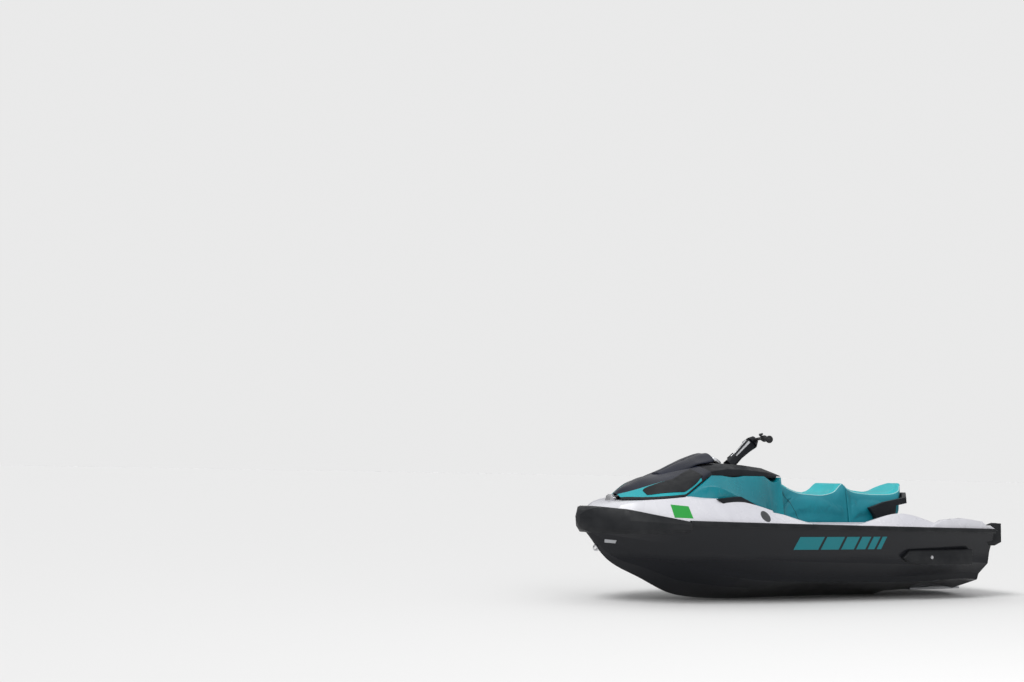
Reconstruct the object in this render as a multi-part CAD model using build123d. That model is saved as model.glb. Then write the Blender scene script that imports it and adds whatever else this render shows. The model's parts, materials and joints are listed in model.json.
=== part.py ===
from build123d import *
from math import cos, radians, sin
import os

# Three-seat personal watercraft, in millimetres. X runs to the bow, Y to port and Z up.
# Lengths along X are taken from the middle of the craft, heights from the bottom of the keel;
# at the end everything is lowered by the draft, so that the origin lies on the waterline.

draft = 240
fit_gap = 0.3
moving_gap = 6

# Lower hull
hull_bow_x = 1650
transom_x = -1515
hull_half_beam = 610
gunwale_height = 526
sheer_slope = 0.021

# Rub rail and bumpers
rail_width = 17
rail_height = 34
bumper_rear_x = 1130
bumper_overhang = 75
stern_overhang = 186
stern_bumper_reach = 24.5
bumper_rise = 42
bumper_skirt = 39

# Deck
deck_middle_rise = 16
platform_front_x = -1100
platform_thickness = 86
platform_rise = 8
platform_inset = 75
corner_reach = 110
well_inner_y = 262
well_outer_inset = 110
well_side_lean = 60
well_depth = 164
well_front_x = 470
well_rear_x = -980
well_step = 130
tub_wall = 10
mat_thickness = 6

# Front storage
hood_hinge_x = 1462
hood_hinge_height = 178
hood_nose_x = 1440
hood_nose_height = 166
hood_slope = 0.10
hinge_half_width = 34
hood_knee_x = 1100
hood_rear_x = 876
mirror_rear_x = 720
mirror_seam = 3
hood_rear_height = 352
bin_front_x = 1360
bin_rear_x = 1120
bin_half_width = 190
bin_depth = 56

# Centre cowl and console
console_base_height = 342
console_front_x = 866
cowl_notch = 114
glove_front_x = 330
glove_rear_x = 160
glove_half_width = 105
glove_floor_height = 244
lid_thickness = 14
lid_hinge_height = 396
lid_swing = 20
lid_journal = 12
lid_slope = 0.2
gauge_x = 624
gauge_radius = 48

# Seats
seat_sink = 10
cowl_rear_x = 170
seat_split_x = -432
seat_rear_x = -1054
seat_gap = 0.6

# Grab handle
grab_rear_x = -1135
grab_front_x = -730
grab_half_width = 257.7
grab_bar = 30
grab_height = 124
grab_depth = 44
grab_tilt = 10

# Steering
column_x = 475
column_height = 429
column_rake = 50
column_length = 235
column_foot = 80
neck_sink = 22
cover_sink = 16
column_shaft_radius = 14
rest_turn = -20
bar_radius = 11
grip_radius = 17
grip_length = 125
grip_sweep = 42
grip_spread = 389
grip_drop = 79

# Drive
pump_z = 165
impeller_radius = 78
impeller_gap = 0.6
blade_half = 6
blade_sweep = 66
pump_wall = 9
pump_front_x = -1130
pump_rear_x = -1400
venturi_x = -1500
venturi_radius = 46
shaft_radius = 14
shaft_clearance = 3
tail_radius = 12
tunnel_half_width = 125
tunnel_top_z = 305
nozzle_pivot_x = -1512
nozzle_length = 95
nozzle_wall = 6
nozzle_gap = 14
cheek_y = 101
cheek_wall = 6
nozzle_turn_ratio = -0.75
seam_turn = 37
bucket_pivot_x = -1530
bucket_radius = 110
bucket_wall = 6
plate_z = 36
plate_thickness = 14
grate_thickness = 12
intake_length = 300
pin_gap = 0.05
pivot_pin_radius = 5

# Boarding step
step_pivot_inset = 24
step_drop = 34
step_reach = 130
step_half_width = 150
step_bar_radius = 13
step_pin_radius = 6

# Widths and heights that follow from the values above
platform_half_width = hull_half_beam - platform_inset
well_outer_y = hull_half_beam - well_outer_inset
well_floor_y = well_outer_y - well_side_lean
well_floor_z = gunwale_height - well_depth
bin_floor_z = gunwale_height - bin_depth
hood_hinge_z = gunwale_height + hood_hinge_height
hood_nose_z = gunwale_height + hood_nose_height
hood_rear_z = gunwale_height + hood_rear_height
console_base_z = gunwale_height + console_base_height
glove_floor_z = gunwale_height + glove_floor_height
lid_hinge_z = gunwale_height + lid_hinge_height
grab_z = gunwale_height + grab_height
column_z = gunwale_height + column_height
open_top_z = lid_hinge_z + 80

# Engine
engine_length = 620
engine_width = 360
engine_height = 330
engine_rear_x = -330
shaft_rise = 30
bay_gap = 18


def joint_z(x):
    """Height of the sloping plane on which hull and deck meet."""
    return gunwale_height + sheer_slope * x


def polygon(points):
    return Face(Wire.make_polygon([Vector(*p) for p in points], close=True))


def prism_xz(points, y_low, y_high):
    face = polygon([(x, y_low, z) for x, z in points])
    return extrude(face, amount=y_high - y_low, dir=(0, 1, 0))


def prism_yz(points, x_low, x_high):
    face = polygon([(x_low, y, z) for y, z in points])
    return extrude(face, amount=x_high - x_low, dir=(1, 0, 0))


def prism_xy(points, z_low, z_high):
    face = polygon([(x, y, z_low) for x, y in points])
    return extrude(face, amount=z_high - z_low, dir=(0, 0, 1))


def block(x_low, x_high, y_low, y_high, z_low, z_high):
    size = (x_high - x_low, y_high - y_low, z_high - z_low)
    return Pos(x_low, y_low, z_low) * Box(*size, align=(Align.MIN, Align.MIN, Align.MIN))


def across(x, half_points):
    """Closed section at x, from half of its outline, listed from the centre line round to it."""
    port = [(x, y, z) for y, z in half_points]
    starboard = [(x, -y, z) for y, z in reversed(half_points) if y > 0]
    return polygon(port + starboard)


def rod(start, end, radius):
    axis = Vector(*end) - Vector(*start)
    circle = Plane(origin=start, z_dir=axis) * Circle(radius)
    return extrude(circle, amount=axis.length, dir=axis)


def both_sides(port_points):
    """Whole outline in plan from its port half, listed from the front."""
    return port_points + [(x, -y) for x, y in reversed(port_points)]


def port_and_starboard(solid):
    return solid, mirror(solid, about=Plane.XZ)


# Lower hull. Shares of the hull's length, half beam and gunwale height.
# Columns: x, keel z, then y and z of strake, chine, chine lip, upper chine and side crease,
# and the gunwale's y.
HULL_ROWS = [
    (0.000, 0.000, 0.467, 0.174, 0.623, 0.236, 0.649, 0.321, 0.803, 0.480, 0.830, 0.643, 0.918),
    (0.163, 0.000, 0.467, 0.174, 0.631, 0.236, 0.659, 0.321, 0.828, 0.488, 0.859, 0.652, 0.977),
    (0.352, 0.000, 0.459, 0.174, 0.631, 0.242, 0.659, 0.325, 0.839, 0.507, 0.885, 0.665, 1.000),
    (0.542, 0.000, 0.430, 0.185, 0.610, 0.265, 0.638, 0.348, 0.816, 0.544, 0.875, 0.728, 0.990),
    (0.668, 0.004, 0.374, 0.185, 0.549, 0.318, 0.574, 0.393, 0.746, 0.595, 0.823, 0.794, 0.948),
    (0.763, 0.053, 0.295, 0.246, 0.451, 0.406, 0.472, 0.473, 0.636, 0.665, 0.738, 0.847, 0.872),
    (0.842, 0.221, 0.210, 0.369, 0.336, 0.520, 0.352, 0.571, 0.500, 0.741, 0.623, 0.885, 0.759),
    (0.905, 0.393, 0.134, 0.495, 0.230, 0.633, 0.243, 0.671, 0.364, 0.813, 0.492, 0.907, 0.623),
    (0.953, 0.556, 0.075, 0.614, 0.139, 0.728, 0.148, 0.756, 0.238, 0.860, 0.348, 0.930, 0.467),
    (0.984, 0.756, 0.036, 0.784, 0.074, 0.832, 0.079, 0.847, 0.131, 0.898, 0.213, 0.945, 0.311),
    (1.000, 0.873, 0.020, 0.881, 0.041, 0.904, 0.044, 0.911, 0.074, 0.926, 0.131, 0.955, 0.213),
]


def hull_x(share):
    return transom_x + share * (hull_bow_x - transom_x)


def gunwale_y(x):
    """Half width of the hull at the gunwale, between the rows of the table."""
    rows = [(hull_x(row[0]), row[-1] * hull_half_beam) for row in HULL_ROWS]
    for (x0, y0), (x1, y1) in zip(rows, rows[1:]):
        if x <= x1:
            return y0 + (y1 - y0) * (x - x0) / (x1 - x0)
    return rows[-1][1]


def hull_form():
    sections = []
    for row in HULL_ROWS:
        x = hull_x(row[0])
        half = [(0, row[1] * gunwale_height)]
        for y, z in zip(row[2:12:2], row[3:12:2]):
            half.append((y * hull_half_beam, z * gunwale_height))
        half.append((row[12] * hull_half_beam, joint_z(x)))
        sections.append(across(x, half))
    return loft(sections)


def well_space(grow, top_z):
    """Room of the port footwell, grown outwards for the tub round it."""
    low = well_floor_z - grow
    side = prism_yz([(well_inner_y - grow, low), (well_floor_y + grow, low),
                     (well_outer_y + grow, joint_z(0)), (well_outer_y + grow, top_z),
                     (well_inner_y - grow, top_z)],
                    well_rear_x - grow, well_front_x + grow)
    profile = prism_xz([(well_rear_x + well_step - grow, low), (well_front_x - well_step + grow, low),
                        (well_front_x + grow, low + well_step), (well_front_x + grow, top_z),
                        (well_rear_x - grow, top_z), (well_rear_x - grow, low + well_step)],
                       0, hull_half_beam)
    return side & profile


def bin_space(grow, top_z):
    return block(bin_rear_x - grow, bin_front_x + grow, -bin_half_width - grow,
                 bin_half_width + grow, bin_floor_z - grow, top_z)


def engine_bay():
    front = engine_rear_x + engine_length + bay_gap
    half = engine_width / 2 + bay_gap
    low = engine_floor_z() - fit_gap
    return block(engine_rear_x - bay_gap, front, -half, half, low, open_top_z)


def engine_floor_z():
    return pump_z - shaft_rise


def make_hull():
    hull = hull_form() - engine_bay() - bin_space(tub_wall + fit_gap, open_top_z)
    for well in port_and_starboard(well_space(tub_wall + fit_gap, open_top_z)):
        hull -= well
    tunnel_front_x = pump_front_x + intake_length + fit_gap
    tunnel = prism_xz([(transom_x - 10, -10), (transom_x - 10, tunnel_top_z),
                       (pump_front_x - 60, tunnel_top_z), (pump_front_x + 40, pump_z + 95),
                       (tunnel_front_x, plate_z + plate_thickness + 4),
                       (tunnel_front_x, -10)], -tunnel_half_width, tunnel_half_width)
    hull -= tunnel
    shaft_end = (engine_rear_x + 5, 0, pump_z)
    return hull - rod((pump_front_x, 0, pump_z), shaft_end, shaft_radius + shaft_clearance)


# Deck moulding, as heights above the plane of the joint with the hull, with widths in
# thousandths of the hull's half beam.
# Columns: x, shoulder y, shoulder height, inner edge y, inner height, middle y, middle height.
DECK_ROWS = [
    (1600, 197, 66, 115, 76, 66, 80),
    (1500, 364, 106, 262, 120, 164, 122),
    (1350, 508, 134, 475, 145, 328, 150),
    (1150, 631, 146, 590, 172, 410, 176),
    (900, 721, 166, 656, 172, 426, 176),
    (600, 770, 134, 689, 138, 426, 140),
    (380, 820, 74, 770, 72, 410, 60),
    (165, 869, 22, 820, 18, 410, deck_middle_rise),
    (-240, 885, 22, 820, 18, 410, deck_middle_rise),
    (-490, 852, 84, 803, 80, 410, deck_middle_rise),
    (-640, 836, 108, 787, 104, 410, deck_middle_rise),
    (-850, 844, 78, 787, 74, 410, deck_middle_rise),
    (-1000, 861, 40, 803, 36, 410, deck_middle_rise),
    (platform_front_x, 885, 18, 820, 17, 410, deck_middle_rise),
]

# Raised side of the rear platform, as heights above the joint plane.
# Columns: distance behind the platform's front, inset from the gunwale, lip height, lip width.
LIP_ROWS = [
    (-260, 6, 4, 56),
    (-90, 6, 70, 52),
    (100, 6, 88, 50),
    (305, 4, 68, 46),
    (345, 4, 40, 46),
    (560, 44, 30, 44),
]


def beam_share(thousandths):
    return hull_half_beam * thousandths / 1000


def make_deck_form():
    sections = []
    for x, sy, sh, iy, ih, my, mh in DECK_ROWS:
        z = joint_z(x)
        half = [(0, z), (gunwale_y(x) - fit_gap, z), (beam_share(sy), z + sh), (beam_share(iy), z + ih),
                (beam_share(my), z + mh), (0, z + mh)]
        sections.append(across(x, half))
    return loft(sections)


def platform_top_z():
    return joint_z(platform_front_x) + platform_rise


def platform_rear_x():
    return transom_x - stern_overhang


def make_platform():
    front_y = gunwale_y(platform_front_x) - 6
    rear = platform_rear_x()
    mid_y = platform_half_width
    port = [(platform_front_x, front_y), (transom_x, mid_y), (rear + corner_reach, mid_y - 8),
            (rear + 0.6 * corner_reach, mid_y - 52), (rear, mid_y - 150)]
    plan = prism_xy(both_sides(port), platform_top_z() - platform_thickness, platform_top_z())
    under = prism_xz([(platform_front_x, joint_z(platform_front_x)), (platform_front_x, 300),
                      (transom_x - fit_gap, 300), (transom_x - fit_gap, joint_z(transom_x))],
                     -hull_half_beam, hull_half_beam)
    return plan - under


def make_lip():
    """Raised port side of the rear platform."""
    sections = []
    for back, inset, height, width in LIP_ROWS:
        x = platform_front_x - back
        outer = gunwale_y(max(x, transom_x)) - inset
        low = max(joint_z(x), joint_z(transom_x))
        sections.append(polygon([(x, outer, low), (x, outer - 14, low + height),
                                 (x, outer - 14 - width, low + height),
                                 (x, outer - 44 - width, max(platform_top_z() - 4, low + 2)),
                                 (x, outer - 44 - width, low)]))
    return loft(sections, ruled=True)


def hood_line(clear):
    """Side outline of the hood's underside, moved down by a clearance, as (x, z) points."""
    knee_z = hood_nose_z + hood_slope * (hood_nose_x - hood_knee_x)
    return [(hood_nose_x + 60, hood_nose_z - clear), (hood_nose_x, hood_nose_z - clear),
            (hood_knee_x + clear / 2, knee_z - clear), (hood_rear_x - clear / 2, hood_rear_z - clear)]


def above_hood_line(clear):
    rear_x = hood_rear_x - clear
    points = hood_line(clear) + [(rear_x, hood_rear_z + 300), (hood_nose_x + 60, hood_rear_z + 300)]
    return prism_xz(points, -hull_half_beam, hull_half_beam)


def make_deck():
    deck = make_deck_form() - above_hood_line(moving_gap)
    deck += make_platform()
    for lip in port_and_starboard(make_lip()):
        deck += lip
    for tub in port_and_starboard(well_space(tub_wall, joint_z(0) + 20)):
        deck += tub
    deck += bin_space(tub_wall, joint_z(bin_rear_x) + 20)
    for well in port_and_starboard(well_space(0, open_top_z)):
        deck -= well
    return deck - bin_space(0, open_top_z)


# Bow bumper, with widths in thousandths of the hull's half beam and heights above the gunwale.
# Columns: x, bottom z, bottom y, lower y and z, upper y and z, top y and z.
BUMPER_ROWS = [
    (bumper_rear_x, -38, 741, 807, -20, 810, 14, 780, 34),
    (1350, -50, 593, 662, -24, 672, 26, 633, 76),
    (1500, -58, 430, 505, -26, 518, 34, 466, 108),
    (1600, -58, 270, 346, -24, 362, 46, 310, 118),
    (1665, -56, 130, 212, -20, 230, 50, 186, 112),
    (1702, -36, 50, 108, -12, 126, 50, 92, 92),
    (1725, 4, 16, 40, 16, 50, 46, 30, 60),
]


def make_bow_bumper():
    reach = hull_bow_x + bumper_overhang - BUMPER_ROWS[-1][0]
    sections = []
    for x, low, low_y, y1, z1, y2, z2, y3, z3 in BUMPER_ROWS:
        move = reach if x > bumper_rear_x else 0
        half = [(0, low), (beam_share(low_y), low), (beam_share(y1), z1), (beam_share(y2), z2),
                (beam_share(y3), z3), (0, z3 + 3)]
        sections.append(across(x + move, [(y, gunwale_height + z) for y, z in half]))
    whole = loft(sections, ruled=True) - hull_form() - make_deck_form()
    return max(whole.solids(), key=lambda s: s.volume)


def make_rail(deck):
    """Port rub rail over the joint of hull and deck."""
    sections = []
    for row in HULL_ROWS[:6]:
        x = hull_x(row[0])
        sections.append(rail_section(x))
    sections.append(rail_section(bumper_rear_x - 1))
    rail = loft(sections) - hull_form() - deck
    return max(rail.solids(), key=lambda s: s.volume)


def rail_section(x):
    y = gunwale_y(x)
    z = joint_z(x)
    out = y + rail_width
    half = rail_height / 2
    return polygon([(x, y - 12, z - half), (x, out - 5, z - half), (x, out, z - half + 8),
                    (x, out, z + half - 8), (x, out - 5, z + half), (x, y - 12, z + half)])


# Centre cowl, with heights above the gunwale. Its lower side bulges out up to a curved crease.
# Columns: x, bottom y, crease y and z, step inwards, top y and z.
COWL_ROWS = [
    (1110, 372, 368, 196, 4, 330, 210),
    (1000, 400, 398, 250, 16, 340, 292),
    (900, 424, 416, 266, 26, 346, 342),
    (780, 420, 408, 236, 22, 330, 342),
    (560, 372, 360, 170, 10, 286, 342),
    (350, 288, 280, 110, 4, 232, 342),
    (cowl_rear_x, 236, 232, 60, 3, 190, 336),
]


def cowl_form():
    low = gunwale_height - 6
    sections = []
    for x, by, cy, cz, step, ty, tz in COWL_ROWS:
        crease = gunwale_height + cz
        top = min(gunwale_height + tz, console_base_z)
        sections.append(across(x, [(0, low), (by, low), (cy, crease), (cy - step, crease + step / 3),
                                   (ty, top), (0, top)]))
    return loft(sections)


def glove_space(grow):
    return block(glove_rear_x + 22 - grow, glove_front_x - 22 + grow, -glove_half_width + 16 - grow,
                 glove_half_width - 16 + grow, glove_floor_z - grow, open_top_z)


def make_cowl(deck):
    cowl = cowl_form() - deck - above_hood_line(moving_gap)
    for well in port_and_starboard(well_space(tub_wall, gunwale_height + cowl_notch)):
        cowl -= well
    cowl -= bin_space(tub_wall + moving_gap, open_top_z)
    cowl -= glove_space(0) + column_bore()
    cowl -= block(0, hull_bow_x, -hull_half_beam, hull_half_beam, console_base_z, open_top_z)
    return max(cowl.solids(), key=lambda s: s.volume)


# Console, with heights above the gunwale. Columns: x, base y, side y and z, top y and z, middle z.
CONSOLE_ROWS = [
    (console_front_x, 310, 300, 366, 220, 398, 424),
    (700, 292, 282, 388, 200, 424, 432),
    (500, 250, 240, 384, 170, 418, 426),
    (300, 200, 190, 370, 130, 400, 408),
    (128, 130, 122, 348, 84, 358, 362),
]


def console_form():
    sections = []
    for x, by, sy, sz, ty, tz, mz in CONSOLE_ROWS:
        half = [(0, console_base_height), (by, console_base_height), (sy, sz), (ty, tz), (0, mz)]
        sections.append(across(x, [(y, gunwale_height + z) for y, z in half]))
    return loft(sections, ruled=True)


def lid_hinge(radius, half):
    """Barrel at the lid's front edge, on which it turns."""
    z = lid_hinge_z
    return rod((glove_front_x, -half, z), (glove_front_x, half, z), radius)


def lid_space(grow):
    """Room of the glovebox lid: the patch of the console's sloping top that lifts."""
    front_z = lid_hinge_z - lid_thickness / 2
    rear_z = front_z - (glove_front_x - glove_rear_x) * lid_slope
    return prism_xz([(glove_front_x, front_z - grow), (glove_front_x, front_z + 200),
                     (glove_rear_x - grow, front_z + 200), (glove_rear_x - grow, rear_z - grow)],
                    -glove_half_width - grow, glove_half_width + grow)


def column_bore():
    return rod(column_point(-column_foot - 6), column_point(0), column_shaft_radius + pin_gap)


def make_console():
    console = console_form() - lid_space(moving_gap) - glove_space(0)
    console -= lid_hinge(lid_swing, glove_half_width + moving_gap)
    console -= lid_hinge(lid_thickness / 2 + pin_gap, lid_barrel_half() + fit_gap)
    socket = rod((column_x + 30 * sin(radians(column_rake)), 0, column_z - 30 * cos(radians(column_rake))),
                 column_point(60), 52)
    return console - socket - column_bore()


def lid_barrel_half():
    """Half length of the lid's barrel, whose ends turn in the console's sides."""
    return glove_half_width + moving_gap + lid_journal


def make_glovebox_lid():
    return (console_form() & lid_space(0)) + lid_hinge(lid_thickness / 2, lid_barrel_half())


# Hood. Columns: x, bottom y, side y, share of the height of the side, top y, share, height of the
# middle above the gunwale.
HOOD_ROWS = [
    (hood_rear_x, 346, 338, 0.22, 220, 0.62, 429),
    (970, 356, 346, 0.30, 210, 0.62, 409),
    (hood_knee_x, 366, 340, 0.38, 185, 0.80, 358),
    (1236, 340, 290, 0.34, 150, 0.74, 326),
    (1340, 262, 205, 0.18, 105, 0.68, 279),
    (1400, 178, 132, 0.25, 60, 0.63, 248),
    (hood_nose_x, 95, 70, 0.40, 40, 0.70, 212),
]


def hood_bottom_z(x):
    line = hood_line(0)
    for (x0, z0), (x1, z1) in zip(line[1:], line[2:]):
        if x >= x1:
            return z0 + (z1 - z0) * (x - x0) / (x1 - x0)
    return line[-1][1]


def make_hood():
    sections = []
    for x, by, sy, ss, ty, ts, mz in HOOD_ROWS:
        low = hood_bottom_z(x)
        crown = gunwale_height + mz
        rise = crown - low
        half = [(0, low), (by, low), (sy, low + ss * rise), (ty, low + ts * rise), (0, crown)]
        sections.append(across(x, half))
    hood = loft(sections, ruled=True)
    for side in (1, -1):
        low, high = sorted((side * (hinge_half_width + 4), side * (hinge_half_width + 18)))
        hood += block(hood_nose_x - 20, hood_hinge_x, low, high, hood_nose_z, hood_hinge_z + 6)
        hood += rod((hood_hinge_x, low, hood_hinge_z), (hood_hinge_x, high, hood_hinge_z), 9)
    bore_half = hinge_half_width + 26
    hood -= rod((hood_hinge_x, -bore_half, hood_hinge_z), (hood_hinge_x, bore_half, hood_hinge_z),
                pivot_pin_radius + pin_gap)
    return hood


def make_hood_hinge(deck):
    """Nose bracket whose cross pin carries the hood."""
    x = hood_hinge_x
    z = hood_hinge_z
    half = hinge_half_width
    bracket = prism_xz([(x - 7, z - 60), (x - 7, z + 9), (x + 8, z + 24), (x + 24, z + 14), (x + 32, z - 12),
                        (x + 32, z - 60)], -half, half)
    bracket = bracket - deck
    bracket = max(bracket.solids(), key=lambda s: s.volume)
    return bracket + rod((x, -half - 19, z), (x, half + 19, z), pivot_pin_radius)


# Mirror housing, port half of the pair on the middle of the hood, with heights above the gunwale.
# Columns: x, outer y, low z, side z, top y, high z.
MIRROR_ROWS = [
    (1110, 60, 340, 346, 24, 358),
    (1040, 110, 346, 356, 34, 386),
    (960, 150, 366, 376, 42, 420),
    (860, 178, 392, 412, 46, 458),
    (770, 176, 426, 440, 58, 490),
    (mirror_rear_x, 158, 432, 446, 76, 503),
]


def make_mirror(hood):
    sections = []
    for x, oy, low, side, ty, high in MIRROR_ROWS:
        points = [(mirror_seam, low), (oy - 20, low), (oy, side), (ty, high), (mirror_seam, high - 5)]
        sections.append(polygon([(x, y, gunwale_height + z) for y, z in points]))
    housing = loft(sections, ruled=True) - hood
    clear = moving_gap + 2
    for ahead, over in ((0, clear), (clear, clear), (clear, 0)):
        housing -= Pos(ahead, 0, over) * console_form()
    return max(housing.solids(), key=lambda s: s.volume)


def make_mirror_glass():
    x, oy, low, side, ty, high = MIRROR_ROWS[-1]
    low, side, high = gunwale_height + low, gunwale_height + side, gunwale_height + high
    return prism_yz([(mirror_seam + 14, low + 16), (oy - 30, low + 16), (oy - 34, side + 6), (ty + 4, high - 12),
                     (mirror_seam + 14, high - 16)], x - fit_gap - 3, x - fit_gap)


# Seats. Columns: x, top half width, top height above the gunwale, dish depth at the middle.
SEAT_FRONT_ROWS = [
    (cowl_rear_x - seat_gap, 118, 336, 0),
    (90, 132, 286, 2),
    (0, 150, 238, 6),
    (-120, 168, 222, 8),
    (-260, 176, 220, 8),
    (-340, 180, 246, 6),
    (-400, 176, 302, 0),
    (seat_split_x + seat_gap, 168, 308, 0),
]

SEAT_REAR_ROWS = [
    (seat_split_x, 168, 304, 0),
    (-500, 176, 254, 4),
    (-620, 182, 236, 8),
    (-780, 184, 232, 8),
    (-900, 184, 240, 6),
    (-980, 180, 282, 2),
    (-1030, 170, 316, 0),
    (seat_rear_x, 156, 310, 0),
]


def make_seat(rows, deck):
    sections = []
    for x, ty, tz, dish in rows:
        low = joint_z(x) + deck_middle_rise - seat_sink
        top = gunwale_height + tz
        half = [(0, low), (222, low), (ty + 42, low + 78),
                (ty + 14, top - 42), (ty - 18, top), (0, top - dish)]
        sections.append(across(x, half))
    seat = loft(sections) - deck
    return max(seat.solids(), key=lambda s: s.volume)


def cut_tail(seat):
    """Rear seat with the room under its tail and its two cut corners taken away."""
    rear = seat_rear_x
    low = gunwale_height - 60
    seat -= prism_xz([(rear - 50, grab_z + 140), (rear + 1, grab_z + 140), (rear + 150, grab_z - 50),
                      (rear + 150, low), (rear - 50, low)], -hull_half_beam, hull_half_beam)
    corner = prism_xy([(rear - 50, 50), (rear + 2, 58), (rear + 124, 200), (rear + 150, 236),
                       (rear + 150, 300), (rear - 50, 300)], low, open_top_z)
    for cut in port_and_starboard(corner):
        seat -= cut
    return seat


def make_grab_handle(deck):
    """Moulded handle round the back of the rear seat, open between its bar and the seat."""
    rear, front, half = grab_rear_x, grab_front_x, grab_half_width
    bar, low, deep = grab_bar, grab_z, grab_depth
    outer = [(front, half), (rear + 190, half), (rear + 137, half - 58), (rear + 46, half - 158),
             (rear, half - 208)]
    inner = [(front + 1, half - bar), (rear + 200, half - bar), (rear + 159, half - 78),
             (rear + 68, half - 178), (rear + bar, half - 218)]
    loop = prism_xy(both_sides(outer), low, low + deep) - prism_xy(both_sides(inner), low - 1, low + deep + 1)
    handle = Pos(front, 0, low) * Rot(0, grab_tilt, 0) * Pos(-front, 0, -low) * loop
    foot_z = joint_z(front) - 10
    side = [(front + 143, low + 2), (front, low + deep), (front - 110, low + deep + 19), (front - 110, low + 18),
            (front - 96, foot_z), (front + 50, foot_z), (front + 100, low - 46)]
    for y in (half - bar, -half):
        foot = prism_xz(side, y, y + bar) - deck
        handle += max(foot.solids(), key=lambda s: s.volume)
    return handle


def column_point(along, forward=0, side=0):
    """Point in the steering's own axes: up the column, forward of it and to port."""
    rake = radians(column_rake)
    x = column_x - along * sin(rake) + forward * cos(rake)
    z = column_z + along * cos(rake) + forward * sin(rake)
    return (x, side, z)


def turned(solid):
    axis = Axis(column_point(0), (-sin(radians(column_rake)), 0, cos(radians(column_rake))))
    return solid.rotate(axis, rest_turn)


def make_steering_neck():
    base = Plane(origin=column_point(-neck_sink), z_dir=Vector(*column_point(1)) - Vector(*column_point(0)),
                 x_dir=(cos(radians(column_rake)), 0, sin(radians(column_rake))))
    low = base * RectangleRounded(76, 84, 20)
    middle = base.offset(110) * RectangleRounded(62, 72, 18)
    top = base.offset(column_length + neck_sink - cover_sink) * RectangleRounded(84, 104, 22)
    neck = loft([low.face(), middle.face(), top.face()], ruled=True)
    return neck + rod(column_point(-column_foot), column_point(0), column_shaft_radius)


def bar_path():
    """Points of the handlebar's port half, from the middle to the grip's end."""
    high = column_length
    return [column_point(high, 0, 0), column_point(high + 6, -4, 100),
            column_point(high - grip_drop / 3, -grip_sweep / 3, 225),
            column_point(high - grip_drop, -grip_sweep, grip_spread)]


def grip_points():
    inner, outer = Vector(*bar_path()[2]), Vector(*bar_path()[3])
    along = (outer - inner).normalized()
    return outer - along * grip_length, outer


def make_handlebar():
    points = [Vector(*p) for p in bar_path()]
    points[-1] = grip_points()[1] - (points[3] - points[2]).normalized() * 6
    half = None
    for start, end in zip(points, points[1:]):
        piece = rod(start, end, bar_radius)
        piece += Pos(*end) * Sphere(bar_radius)
        half = piece if half is None else half + piece
    half -= block(-3000, 3000, -400, 0, 0, 3000)
    return half + mirror(half, about=Plane.XZ)


def make_grip(bar):
    start, end = grip_points()
    along = (end - start).normalized()
    grip = rod(start, end, grip_radius)
    grip += rod((end - along * 7), end, grip_radius + 9)
    grip += rod(start, (start + along * 6), grip_radius + 7)
    return grip - bar


def make_steering_cover(bar):
    plane = Plane(origin=column_point(column_length - cover_sink + fit_gap),
                  z_dir=Vector(*column_point(1)) - Vector(*column_point(0)),
                  x_dir=(cos(radians(column_rake)), 0, sin(radians(column_rake))))
    low = plane * RectangleRounded(92, 148, 26)
    high = plane.offset(48) * RectangleRounded(58, 100, 24)
    return loft([low.face(), high.face()], ruled=True) - bar


def make_lever(side_sign, reach, bar):
    """Finger lever in front of a grip, on its clamp."""
    start, end = grip_points()
    along = (end - start).normalized()
    ahead = Vector(*column_point(0, 1)) - Vector(*column_point(0, 0))
    clamp = rod((start - along * 34), (start - along * 8), bar_radius + 9)
    pivot = start - along * 20 + ahead * 38
    tip = pivot + along * reach + ahead * 8
    arm = rod((start - along * 20), pivot, 8)
    arm += rod(pivot, tip, 6)
    arm += Pos(*tip) * Sphere(7.5)
    lever = clamp + arm - bar
    return lever if side_sign > 0 else mirror(lever, about=Plane.XZ)


def ring(profile):
    """Solid of revolution about the pump's line, from (x, radius) points."""
    face = polygon([(x, 0, pump_z + r) for x, r in profile])
    line = Axis((0, 0, pump_z), (1, 0, 0))
    return revolve(face, line, 360).rotate(line, seam_turn)


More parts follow.
